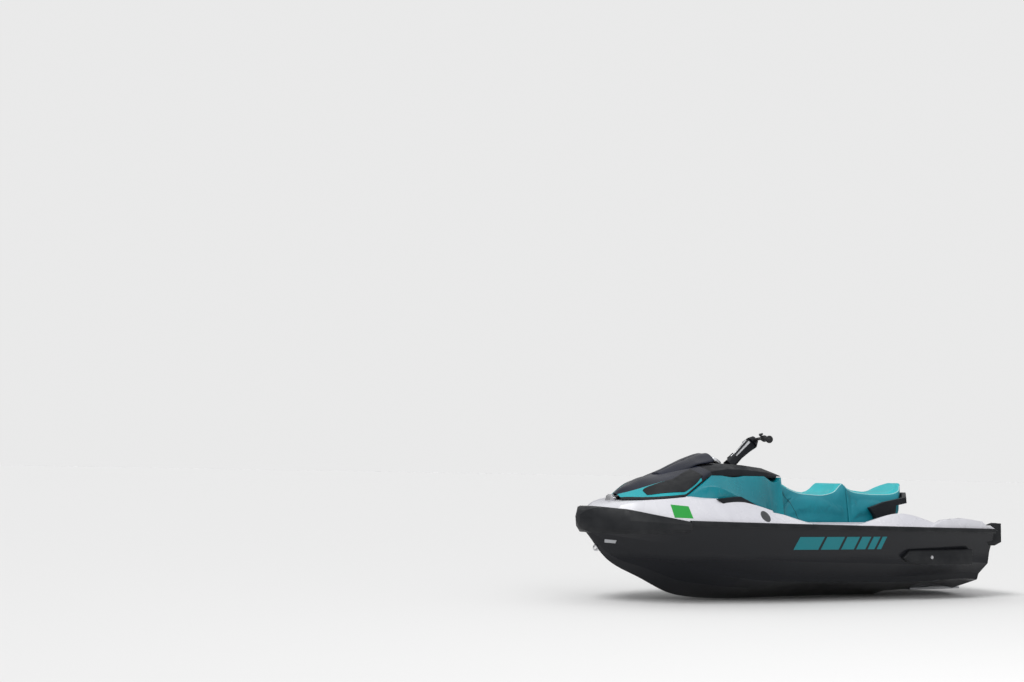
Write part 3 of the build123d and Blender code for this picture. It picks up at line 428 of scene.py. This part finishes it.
navy = (0.005, 0.007, 0.017)
navy_light = (0.009, 0.012, 0.026)
hood_finish = new_finish("navy_gelcoat", navy, 0.25, shine=0.28)
colour_between(hood_finish, noise_over(hood_finish, 3), navy, navy_light)
gloss_between(hood_finish, noise_over(hood_finish, 12), 0.2, 0.36)
relief(hood_finish, noise_over(hood_finish, 90), 0.00001)
hood_lines = [whole(hood_half(x)) for x in spaced(hood_rear[0], hood_nose[0], hood_stations)]
hood = skin("hood_shell", hood_lines)
turn_out(hood, hood_inside)
pick(hood)
bpy.ops.object.mode_set(mode="EDIT")
bpy.ops.mesh.select_all(action="DESELECT")
bpy.ops.object.mode_set(mode="OBJECT")
for edge in hood.data.edges:
    ends = [hood.data.vertices[k].co.x for k in edge.vertices]
    edge.select = any(all(abs(x - end[0]) < 1e-5 for x in ends) for end in (hood_nose, hood_rear))
bpy.ops.object.mode_set(mode="EDIT")
bpy.ops.mesh.select_mode(type="EDGE")
bpy.ops.mesh.edge_face_add()
bpy.ops.object.mode_set(mode="OBJECT")
work(hood, "SOLIDIFY", thickness=hood_wall, offset=-1)
finish(hood, "hood", hood_finish, 28)
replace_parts(hood, "hood")

hood_teal = (0.006, 0.30, 0.35)
hood_teal_light = (0.010, 0.36, 0.41)
band_finish = new_finish("teal_band", hood_teal, 0.2)
colour_between(band_finish, noise_over(band_finish, 3), hood_teal, hood_teal_light)
gloss_between(band_finish, noise_over(band_finish, 10), 0.18, 0.32)
relief(band_finish, noise_over(band_finish, 90), 0.00001)

# Columns: x, then the shares of the side, from lower edge to crown, between which the band lies.
hood_bands = [
    ("hood_teal_band", band_finish, 0.0016, [(1438, 0.10, 0.66), (1400, 0.08, 0.60), (1340, 0.05, 0.54),
                                             (1240, 0.03, 0.485), (1160, 0.02, 0.47), (1060, 0.02, 0.42),
                                             (960, 0.02, 0.10)]),
    ("hood_side_panel", rubber_finish, 0.0055, [(1318, 0.20, 0.40), (1300, 0.17, 0.45), (1240, 0.12, 0.455),
                                                (1100, 0.07, 0.46), (1000, 0.06, 0.50), (940, 0.10, 0.50)]),
    ("hood_lip", rubber_finish, 0.0030, [(1439, 0.0, 0.26), (1400, 0.0, 0.22), (1340, 0.0, 0.13),
                                         (1280, 0.0, 0.06), (1100, 0.0, 0.03), (877, 0.0, 0.03)]),
]
for name, material, lift, rows in hood_bands:
    for side, hand in ((1, "left"), (-1, "right")):
        lines = []
        for x in spaced(rows[-1][0] / 1000, rows[0][0] / 1000, 48):
            low_share, high_share = row_at(rows, x * 1000)
            line = hood_half(x)
            points = [on_line(line, share) for share in spaced(low_share, high_share, 10)]
            lines.append([Vector((p.x, side * p.y, p.z)) for p in points])
        band = skin(f"{name}_{hand}", lines)
        turn_out(band, hood_inside)
        work(band, "SOLIDIFY", thickness=lift, offset=1)
        work(band, "BEVEL", width=lift / 3, segments=2, limit_method="ANGLE", angle_limit=radians(50))
        finish(band, "hood", material)


# Mirror housings: two moulded pods that lie on the hood's crown and reach back over the console.
# Columns in mm: x, outer half width, then heights above the gunwale of the underside at the middle
# and outside and of the side, half width of the top and its height.
MIRROR_ROWS = [
    (1110, 60, 338, 338, 346, 24, 358), (1040, 110, 346, 346, 358, 34, 388),
    (960, 150, 366, 366, 380, 42, 423), (880, 172, 425, 404, 418, 46, 452),
    (860, 178, 434, 410, 424, 48, 462), (770, 176, 437, 424, 440, 58, 492),
    (720.5, 160, 441, 432, 450, 74, 502),
]
pod_seam = 0.003
pod_front, pod_rear, pod_stations = 1.110, 0.7205, 40
for side, hand in ((1, "left"), (-1, "right")):
    lines = []
    for x in spaced(pod_rear, pod_front, pod_stations):
        columns = [value / 1000 for value in row_at(MIRROR_ROWS, x * 1000)]
        outer, inner_low, low, middle, top_half, high = columns
        corners = [(x, pod_seam, gunwale + inner_low), (x, outer - 0.02, gunwale + low),
                   (x, outer, gunwale + middle), (x, top_half, gunwale + high),
                   (x, pod_seam, gunwale + high - 0.004)]
        line = rounded(corners, (0.012, 0.03, 0.06), 6)
        lines.append([Vector((p.x, side * p.y, p.z)) for p in line + line[:1]])
    pod = skin(f"mirror_pod_{hand}", lines)
    close(pod)
    work(pod, "BEVEL", width=0.004, segments=3, limit_method="ANGLE", angle_limit=radians(40))
    finish(pod, "hood", hood_finish, 30)
    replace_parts(pod, f"mirror_housing_{hand}")
glass_finish = new_finish("mirror_silver", (0.8, 0.8, 0.8), 0.03, metallic=1.0)
relief(glass_finish, noise_over(glass_finish, 12), 0.00002)
for name in ("mirror_glass_left", "mirror_glass_right"):
    dressed(name, glass_finish, 0.001)


# Seats: two foam pads in sewn marine vinyl, dark teal sides and lighter tops with pale piping. The lighter
# top is partly a lighter vinyl panel and partly painted sunlight on the faces that look up.
# Each clips to the deck on its own base, and the rear one has an undercut tail.
seat_bottom = 0.017
seat_voxel = 0.008
seat_cap = 0.012
air_steps = 20
seat_stations = 64
SEAT_FRONT_ROWS = [
    (169.4, 118, 336, 0), (90, 132, 286, 2), (0, 150, 238, 6), (-120, 168, 222, 8),
    (-260, 176, 220, 8), (-340, 180, 246, 6), (-400, 176, 302, 0), (-431.4, 168, 308, 0),
]
SEAT_REAR_ROWS = [
    (-432, 168, 304, 0), (-500, 176, 254, 4), (-620, 182, 236, 8), (-780, 184, 232, 8),
    (-900, 184, 240, 6), (-980, 180, 282, 2), (-1030, 170, 316, 0), (-1054, 156, 310, 0),
]


def joint_z(x):
    """Height of the sloping plane on which hull and deck meet."""
    return gunwale + sheer_slope * x


def seat_half(rows, x):
    """Port half of a seat's outline at x, from the middle of its base to the middle of its top."""
    top_half, top, dish = [value / 1000 for value in row_at(rows, x * 1000)]
    low, top = joint_z(x) + seat_bottom, gunwale + top
    corners = [(x, 0, low), (x, 0.218, low), (x, top_half + 0.040, low + 0.072),
               (x, top_half + 0.012, top - 0.042), (x, top_half - 0.018, top - 0.002),
               (x, 0, top - dish - 0.002)]
    return rounded(corners, (0.02, 0.04, 0.03, 0.03))


def fill_with_air(piece, held):
    """Swells a cover as its foam does. A point moves by no more than the cap times held(point)."""
    before = [vertex.co.copy() for vertex in piece.data.vertices]
    pick(piece)
    air = piece.modifiers.new("air", "CLOTH")
    air.settings.use_pressure = True
    air.settings.uniform_pressure_force = 4
    air.settings.effector_weights.gravity = 0
    air.point_cache.frame_start = 1
    air.point_cache.frame_end = air_steps
    for step in range(1, air_steps + 1):
        bpy.context.scene.frame_set(step)
    bpy.ops.object.modifier_apply(modifier=air.name)
    for vertex, start in zip(piece.data.vertices, before):
        move = vertex.co - start
        most = seat_cap * held(start)
        if move.length > most:
            move = move.normalized() * most
        vertex.co = start + move


def tube(name, points, radius, body, material):
    """A round bead along a line of points."""
    path = bpy.data.curves.new(name, "CURVE")
    path.dimensions = "3D"
    path.bevel_depth = radius
    path.bevel_resolution = 3
    path.use_fill_caps = True
    spline = path.splines.new("POLY")
    spline.points.add(len(points) - 1)
    for point, place in zip(spline.points, points):
        point.co = (*place, 1)
    bead = bpy.data.objects.new(name, path)
    bpy.context.scene.collection.objects.link(bead)
    pick(bead)
    bpy.ops.object.convert(target="MESH")
    bead = bpy.context.object
    return finish(bead, body, material, 60)


seat_teal = (0.003, 0.185, 0.240)
seat_teal_top_and_sunlight = (0.020, 0.40, 0.44)
piping_pale = (0.42, 0.66, 0.68)
vinyl_side = new_finish("seat_vinyl_side", seat_teal, 0.42, shine=0.4)
colour_between(vinyl_side, noise_over(vinyl_side, 5), seat_teal, (0.004, 0.215, 0.275))
vinyl_top_and_sunlight = new_finish("seat_vinyl_top", seat_teal_top_and_sunlight, 0.45, shine=0.4)
colour_between(vinyl_top_and_sunlight, noise_over(vinyl_top_and_sunlight, 5), seat_teal_top_and_sunlight, (0.026, 0.45, 0.49))
for vinyl in (vinyl_side, vinyl_top_and_sunlight):
    gloss_between(vinyl, noise_over(vinyl, 18), 0.38, 0.52)
    relief(vinyl, cells_over(vinyl, 420), 0.0002)
    relief(vinyl, noise_over(vinyl, 14), 0.0006)
piping_finish = new_finish("seat_piping", piping_pale, 0.45)
relief(piping_finish, noise_over(piping_finish, 300), 0.0002)
seam_finish = new_finish("seat_seam", (0.004, 0.016, 0.02), 0.6)
relief(seam_finish, noise_over(seam_finish, 300), 0.0002)

# The front seat's side seam, from (x, height above the gunwale) at its top to its foot.
seam_top, seam_foot = (0.150, 0.300), (0.010, 0.030)
for name, rows in (("seat_front", SEAT_FRONT_ROWS), ("seat_rear", SEAT_REAR_ROWS)):
    front, rear = rows[0][0] / 1000 - 0.0015, rows[-1][0] / 1000 + 0.0015
    lines = []
    for x in spaced(rear, front, seat_stations):
        half = seat_half(rows, x)
        lines.append(half + [Vector((p.x, -p.y, p.z)) for p in reversed(half[:-1])])
    seat = skin(name + "_pad", lines)
    close(seat)
    if name == "seat_rear":
        bpy.ops.object.mode_set(mode="EDIT")
        for place, out in (((-1.0535, 0, keel_z + 0.790), (-0.190, 0, -0.149)),
                           ((-1.0525, 0.058, 0), (-0.142, 0.122, 0)),
                           ((-1.0525, -0.058, 0), (-0.142, -0.122, 0))):
            bpy.ops.mesh.select_all(action="SELECT")
            bpy.ops.mesh.bisect(plane_co=place, plane_no=out, use_fill=True, clear_outer=True)
        bpy.ops.object.mode_set(mode="OBJECT")
    work(seat, "REMESH", mode="VOXEL", voxel_size=seat_voxel, use_smooth_shade=True)
    work(seat, "SMOOTH", factor=0.5, iterations=6)
    fill_with_air(seat, lambda p: min(max((p.z - joint_z(p.x) - seat_bottom) / 0.06, 0), 1)
                  * min((p.x - rear) / 0.04, (front - p.x) / 0.04, 1))
    work(seat, "SUBSURF", levels=1, render_levels=1)
    finish(seat, "craft", vinyl_side, 60)
    # The lighter top vinyl goes on the faces that look upwards: partly a lighter panel, partly painted
    # sunlight on the seat's top.
    seat.data.materials.append(vinyl_top_and_sunlight)
    for face in seat.data.polygons:
        top_half = row_at(rows, face.center.x * 1000)[0] / 1000
        if face.normal.z > 0.25 and abs(face.center.y) < top_half - 0.024:
            face.material_index = 1
    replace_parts(seat, name)
    for side, hand in ((1, "left"), (-1, "right")):
        line = []
        for x in spaced(rear + 0.02, min(front - 0.01, 0.06), 70):
            top_half, top, dish = [value / 1000 for value in row_at(rows, x * 1000)]
            line.append(seat.closest_point_on_mesh(Vector((x, side * (top_half - 0.022), gunwale + top)))[1])
        tube(f"{name}_piping_{hand}", line, 0.003, "craft", piping_finish)
    if name == "seat_front":
        for side, hand in ((1, "left"), (-1, "right")):
            line = []
            for t in spaced(0.06, 0.94, 24):
                x = seam_top[0] + (seam_foot[0] - seam_top[0]) * t
                z = seam_top[1] + (seam_foot[1] - seam_top[1]) * t
                line.append(seat.closest_point_on_mesh(Vector((x, side * 0.24, gunwale + z)))[1])
            tube(f"{name}_seam_{hand}", line, 0.0016, "craft", seam_finish)


# Gasket: black foam strips that close the joint between the cowl and the console's foot.
CONSOLE_FEET = [(866, 310, 342), (700, 292, 342), (500, 250, 342), (300, 200, 341), (176, 150, 336)]
gasket_width = 0.014
for side, hand in ((1, "left"), (-1, "right")):
    lines = []
    for x in spaced(0.178, 0.86, 30):
        half, top = [value / 1000 for value in row_at(CONSOLE_FEET, x * 1000)]
        outer, inner = half - 0.006, half - 0.006 - gasket_width
        low, high = gunwale + top - 0.006, gunwale + 0.346
        ring = [(outer, low), (outer, high), (inner, high), (inner, low), (outer, low)]
        lines.append([Vector((x, side * y, z)) for y, z in ring])
    gasket = skin(f"console_gasket_{hand}", lines)
    close(gasket)
    finish(gasket, "craft", rubber_finish)


# Hull and deck films: slanted teal bars along the side, a bare silver badge at the bow, a bare
# green plate and a bare dark badge on the shoulder, all pressed on as thin vinyl.
def film(name, grid, side, target, material, lift=0.0012):
    """A vinyl film, given as lines of (x, z) seen from the side, pressed onto a moulding."""
    sheet = skin(name, [[Vector((x, side * 0.8, z)) for x, z in line] for line in grid])
    work(sheet, "SHRINKWRAP", target=target, wrap_method="PROJECT", use_project_y=True,
         use_negative_direction=side > 0, use_positive_direction=side < 0, offset=lift)
    turn_out(sheet, (sum(x for x, z in grid[0]) / len(grid[0]), 0, 0))
    work(sheet, "SOLIDIFY", thickness=lift, offset=-1)
    return finish(sheet, "craft", material)


def four_sided(a, b, c, d, across=14, up=8):
    """Grid of points between four corners (x, z), in turn round the shape."""
    a, b, c, d = [Vector(corner) for corner in (a, b, c, d)]
    return [[a.lerp(b, u).lerp(d.lerp(c, u), v) for v in spaced(0, 1, up)] for u in spaced(0, 1, across)]


def round_grid(x, z, radius, sides=32):
    """Grid of points over a disc, from its middle to its rim."""
    return [[(x + radius * r * cos(a), z + radius * r * sin(a)) for r in (0.02, 0.5, 1)]
            for a in spaced(0, 2 * pi, sides + 1)]


bar_low, bar_high, bar_lean = 0.130, 0.219, 0.024
bar_widths = (0.200, 0.150, 0.110, 0.080, 0.060, 0.040)
bar_gap = 0.022
bar_front = 0.315
film_teal = new_finish("vinyl_teal", (0.006, 0.20, 0.235), 0.35, shine=0.3)
film_green = new_finish("vinyl_green", (0.02, 0.30, 0.045), 0.4, shine=0.3)
film_silver = new_finish("vinyl_silver", (0.45, 0.46, 0.48), 0.35, metallic=0.7)
film_dark = new_finish("vinyl_dark", (0.035, 0.037, 0.042), 0.4)
for vinyl in (film_teal, film_green, film_silver, film_dark):
    gloss_between(vinyl, noise_over(vinyl, 30), 0.3, 0.45)
    relief(vinyl, noise_over(vinyl, 60), 0.0001)
for side, hand in ((1, "left"), (-1, "right")):
    front = bar_front
    for k, width in enumerate(bar_widths):
        film(f"side_bar_{hand}_{k + 1}", four_sided((front, bar_low), (front - width, bar_low),
             (front - width - bar_lean, bar_high), (front - bar_lean, bar_high)), side, hull, film_teal)
        front -= width + bar_gap
    film(f"bow_badge_{hand}", four_sided((1.556, 0.187), (1.492, 0.181), (1.490, 0.160), (1.552, 0.164)),
         side, hull, film_silver)
    film(f"green_plate_{hand}", four_sided((1.222, 0.345), (1.102, 0.341), (1.112, 0.420), (1.226, 0.430)),
         side, deck, film_green)
    film(f"round_badge_{hand}", round_grid(0.560, 0.358, 0.036), side, deck, film_dark)


# Grips: ribbed rubber sleeves on the bar's ends, with a flange inside and a thick end ball.
# The steering stands turned to starboard about its raked column, as it was left.
column_foot_place = Vector((0.475, 0, gunwale + 0.429))
column_rake, rest_turn = radians(50), radians(-20)
column_up = Vector((-sin(column_rake), 0, cos(column_rake)))
column_ahead = Vector((cos(column_rake), 0, sin(column_rake)))
grip_radius, grip_length = 0.0175, 0.125
bar_bend = (0.235 - 0.079 / 3, -0.014, 0.225)
bar_end = (0.156, -0.042, 0.389)
grip_ribs = 13


def steered(along, ahead, port):
    """Point in the steering's own axes, turned as it rests."""
    turned_ahead = ahead * cos(rest_turn) - port * sin(rest_turn)
    turned_port = ahead * sin(rest_turn) + port * cos(rest_turn)
    return column_foot_place + column_up * along + column_ahead * turned_ahead + Vector((0, turned_port, 0))


def lathed(name, start, axis, profile, sides=36):
    """A turned piece about an axis: the profile gives distances along it and radii."""
    axis = Vector(axis).normalized()
    across = axis.orthogonal().normalized()
    over = axis.cross(across)
    lines = [[start + axis * d + (across * cos(a) + over * sin(a)) * r for a in spaced(0, 2 * pi, sides + 1)]
             for d, r in profile]
    piece = skin(name, lines)
    close(piece)
    return piece


grip_finish = new_finish("grip_rubber", (0.012, 0.012, 0.014), 0.6, shine=0.35)
gloss_between(grip_finish, noise_over(grip_finish, 60), 0.5, 0.68)
relief(grip_finish, cells_over(grip_finish, 900), 0.0002)
for port, hand in ((1, "left"), (-1, "right")):
    inner = steered(bar_bend[0], bar_bend[1], port * bar_bend[2])
    outer = steered(bar_end[0], bar_end[1], port * bar_end[2])
    axis = (outer - inner).normalized()
    profile = [(0, 0.0125), (0, grip_radius + 0.006), (0.006, grip_radius + 0.006), (0.007, grip_radius)]
    rib_step = (grip_length - 0.020) / grip_ribs
    for k in range(grip_ribs):
        at = 0.009 + k * rib_step
        profile += [(at, grip_radius - 0.001), (at + rib_step * 0.3, grip_radius + 0.0015),
                    (at + rib_step * 0.7, grip_radius + 0.0015), (at + rib_step * 0.95, grip_radius - 0.001)]
    profile += [(grip_length - 0.011, grip_radius + 0.002), (grip_length - 0.009, grip_radius + 0.008),
                (grip_length - 0.003, grip_radius + 0.009), (grip_length, grip_radius + 0.005),
                (grip_length + 0.001, 0.006)]
    grip = lathed(f"grip_sleeve_{hand}", outer - axis * grip_length, axis, profile)
    finish(grip, "steering", grip_finish, 50)
    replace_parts(grip, f"grip_{hand}")


# Trim on the steering: satin silver strips up the front and both sides of the neck, below the
# cover. They turn with the handlebar.
trim_finish = new_finish("satin_trim", (0.52, 0.53, 0.55), 0.35, metallic=0.3)
gloss_between(trim_finish, noise_over(trim_finish, 30), 0.28, 0.42)
relief(trim_finish, noise_over(trim_finish, 200), 0.00005)
# Columns in mm: distance up the column, height of the neck's front face, half width of the strip.
TRIM_ROWS = [(40, 34.5, 12), (90, 32.5, 20), (150, 35, 24), (214, 41, 30)]
strip_lift = 0.003
lines = []
for along in spaced(0.040, 0.214, 24):
    ahead, half = [value / 1000 for value in row_at(TRIM_ROWS, along * 1000)]
    ring = [(ahead - 0.003, -half), (ahead + strip_lift, -half + 0.004), (ahead + strip_lift + 0.001, 0),
            (ahead + strip_lift, half - 0.004), (ahead - 0.003, half), (ahead - 0.003, -half)]
    lines.append([steered(along, a, port) for a, port in ring])
strip = skin("neck_trim", lines)
close(strip)
finish(strip, "steering", trim_finish, 40)
# Columns in mm: distance up the column, half width of the neck there.
SIDE_TRIM_ROWS = [(60, 37.5), (90, 36.5), (150, 42.5), (208, 50)]
for port, hand in ((1, "left"), (-1, "right")):
    lines = []
    for along in spaced(0.060, 0.208, 24):
        face = row_at(SIDE_TRIM_ROWS, along * 1000)[0] / 1000
        middle, half = 0.012 + 0.04 * (along - 0.06), 0.006 + 0.03 * (along - 0.06)
        ring = [(middle - half, face - 0.003), (middle - half + 0.003, face + strip_lift),
                (middle + half - 0.003, face + strip_lift), (middle + half, face - 0.003),
                (middle - half, face - 0.003)]
        lines.append([steered(along, a, port * s) for a, s in ring])
    side_strip = skin(f"neck_trim_{hand}", lines)
    close(side_strip)
    finish(side_strip, "steering", trim_finish, 40)


# Sponson bolts and gauge: a stainless bolt on each side blade, and a round dial with plain numbers.
bolt_finish = new_finish("bolt_steel", (0.6, 0.6, 0.62), 0.25, metallic=1.0)
relief(bolt_finish, noise_over(bolt_finish, 200), 0.00005)
for side, hand in ((1, "left"), (-1, "right")):
    low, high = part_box(f"sponson_{hand}")
    face = high.y if side > 0 else -low.y
    bolt = lathed(f"sponson_bolt_{hand}", Vector((-0.90, side * (face - 0.004), 0.068)), (0, side, 0),
                  [(0, 0.013), (0.004, 0.013), (0.005, 0.009), (0.0085, 0.0085), (0.0095, 0.007)])
    finish(bolt, "craft", bolt_finish, 30)

gauge_middle = Vector((0.624, 0, gunwale + 0.430))
gauge_axis = Vector((-0.5, 0, 0.866))
gauge_up = Vector((0.866, 0, 0.5))
gauge_top = 0.0268
bezel = lathed("gauge_bezel", gauge_middle + gauge_axis * 0.010, gauge_axis,
               [(0, 0.0420), (0, 0.0485), (0.0165, 0.0485), (0.0185, 0.0465), (0.0185, 0.043),
                (0.0160, 0.0420), (0, 0.0420)], 48)
finish(bezel, "craft", trim_finish, 30)
white_ink = new_finish("dial_ink", (0.7, 0.7, 0.7), 0.5)
relief(white_ink, noise_over(white_ink, 200), 0.00001)
dial_numbers = (0, 20, 40, 60, 80, 100)
for k, number in enumerate(dial_numbers):
    turn = radians(220 - k * 260 / (len(dial_numbers) - 1))
    right = Vector((0, -1, 0))
    spot = gauge_middle + gauge_axis * gauge_top + (right * cos(turn) + gauge_up * sin(turn)) * 0.030
    bpy.ops.object.text_add()
    ink = bpy.context.object
    ink.name = f"dial_number_{number}"
    ink.data.body = str(number)
    ink.data.size = 0.011
    ink.data.align_x = "CENTER"
    ink.data.align_y = "CENTER"
    ink.data.extrude = 0.0002
    bpy.ops.object.convert(target="MESH")
    for point in ink.data.vertices:
        point.co = spot + right * point.co.x + gauge_up * point.co.y + gauge_axis * point.co.z
    finish(ink, "craft", white_ink)


# Mats: teal foam with pressed grooves, glued to the footwells and the rear platform.
mat_teal = (0.006, 0.12, 0.145)
mat_teal_light = (0.010, 0.16, 0.185)
mat_finish = new_finish("mat_foam", mat_teal, 0.8, shine=0.3)
colour_between(mat_finish, noise_over(mat_finish, 14), mat_teal, mat_teal_light)
gloss_between(mat_finish, noise_over(mat_finish, 30), 0.7, 0.9)
relief(mat_finish, cells_over(mat_finish, 260), 0.0008)
grooves = mat_finish.node_tree.nodes.new("ShaderNodeTexWave")
grooves.inputs["Scale"].default_value = 9
grooves.bands_direction = "Y"
groove_place = mat_finish.node_tree.nodes.new("ShaderNodeTexCoord")
mat_finish.node_tree.links.new(groove_place.outputs["Object"], grooves.inputs["Vector"])
relief(mat_finish, grooves.outputs["Fac"], 0.003)
for name in ("platform_mat", "footwell_mat_left", "footwell_mat_right"):
    dressed(name, mat_finish, 0.003)


# Jet drive and fittings: cast housing, nozzle, bucket and plates, with the impeller, step, eyes and
# hinge in stainless steel. Casting leaves a dull skin, and the steel is drawn and polished.
metal_finish = new_finish("cast_metal", (0.42, 0.43, 0.45), 0.4, metallic=1.0)
gloss_between(metal_finish, noise_over(metal_finish, 24), 0.3, 0.5)
relief(metal_finish, noise_over(metal_finish, 260), 0.0002)
steel_finish = new_finish("stainless_steel", (0.62, 0.62, 0.64), 0.22, metallic=1.0)
gloss_between(steel_finish, noise_over(steel_finish, 40, (1, 8, 1)), 0.16, 0.3)
relief(steel_finish, noise_over(steel_finish, 200, (1, 8, 1)), 0.00005)
for name in ("pump_housing", "steering_nozzle", "reverse_bucket", "ride_plate", "intake_grate",
             "step_bracket"):
    dressed(name, metal_finish, 0.0015, smooth=28)
for name in ("impeller", "boarding_step", "tow_eye", "bow_eye", "hood_hinge"):
    dressed(name, steel_finish, 0.0012, smooth=28)


# Handlebar and levers: black paint on metal tube and castings.
bar_finish = new_finish("bar_paint", (0.02, 0.02, 0.022), 0.4, metallic=0.3)
gloss_between(bar_finish, noise_over(bar_finish, 40), 0.34, 0.48)
for name in ("handlebar", "throttle_lever", "brake_lever"):
    dressed(name, bar_finish, 0.0012)


# Engine and gauge glass: one plain dark block under the hood and seat, and a smoked cover.
engine_finish = new_finish("engine_block", (0.06, 0.06, 0.065), 0.5)
gloss_between(engine_finish, noise_over(engine_finish, 10), 0.4, 0.6)
dressed("engine_block", engine_finish, 0.01)
display_finish = new_finish("display_glass", (0.008, 0.008, 0.01), 0.08, coat=1.0)
gloss_between(display_finish, noise_over(display_finish, 12), 0.05, 0.1)
dressed("gauge_display", display_finish, 0.003)


# Stage: a plain pale floor at the keel, a white surround, soft light and the camera.
floor_tone = (0.80, 0.80, 0.80)
bpy.ops.mesh.primitive_plane_add(size=400, location=(0, 0, keel_z - 0.001))
floor = bpy.context.object
floor.name = "floor"
floor_finish = new_finish("floor_paper", floor_tone, 0.9, shine=0.1)
floor.data.materials.append(floor_finish)
floor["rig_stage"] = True

world = bpy.data.worlds.new("surround")
bpy.context.scene.world = world
world.use_nodes = True
sky = world.node_tree.nodes["Background"]
sky.inputs["Color"].default_value = (1, 1, 1, 1)
rays = world.node_tree.nodes.new("ShaderNodeLightPath")
seen = world.node_tree.nodes.new("ShaderNodeMath")
seen.operation = "MAXIMUM"
world.node_tree.links.new(rays.outputs["Is Camera Ray"], seen.inputs[0])
world.node_tree.links.new(rays.outputs["Is Transmission Ray"], seen.inputs[1])
level = world.node_tree.nodes.new("ShaderNodeMapRange")
level.inputs["To Max"].default_value = 0.82
world.node_tree.links.new(seen.outputs["Value"], level.inputs["Value"])
way = world.node_tree.nodes.new("ShaderNodeTexCoord")
height = world.node_tree.nodes.new("ShaderNodeSeparateXYZ")
world.node_tree.links.new(way.outputs["Generated"], height.inputs["Vector"])
ceiling = world.node_tree.nodes.new("ShaderNodeMapRange")
ceiling.inputs["From Min"].default_value = 0.0
ceiling.inputs["From Max"].default_value = 0.8
ceiling.inputs["To Min"].default_value = 0.25
ceiling.inputs["To Max"].default_value = 0.80
world.node_tree.links.new(height.outputs["Z"], ceiling.inputs["Value"])
world.node_tree.links.new(ceiling.outputs["Result"], level.inputs["To Min"])
world.node_tree.links.new(level.outputs["Result"], sky.inputs["Strength"])

sun_from = (3.0, 1.6, 4.2)
bpy.ops.object.light_add(type="SUN", location=sun_from)
sun = bpy.context.object
sun.name = "soft_sun"
sun.data.energy = 1.5
sun.data.angle = radians(24)
sun.rotation_euler = Vector(sun_from).to_track_quat("Z", "Y").to_euler()
lamp_place, lamp_aim = (2.0, 6.0, 3.2), (0.2, 0, 0.2)
bpy.ops.object.light_add(type="AREA", location=lamp_place)
lamp = bpy.context.object
lamp.name = "side_softbox"
lamp.data.size = 3.0
lamp.data.energy = 55
lamp.rotation_euler = (Vector(lamp_place) - Vector(lamp_aim)).to_track_quat("Z", "Y").to_euler()

# The photographer stands 10.5 m off the port bow, with the lens at about hip height.
camera_place = (6.427, 8.312, 0.651)
camera_turn = (95.199, -1.072, 153.217)
focal_px = 1400
image_width_px = 1024
bpy.ops.object.camera_add(location=camera_place, rotation=[radians(a) for a in camera_turn])
camera = bpy.context.object
camera.data.sensor_width = 36
camera.data.lens = 36 * focal_px / image_width_px
bpy.context.scene.camera = camera
bpy.context.scene.view_settings.view_transform = "Standard"

low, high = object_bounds()
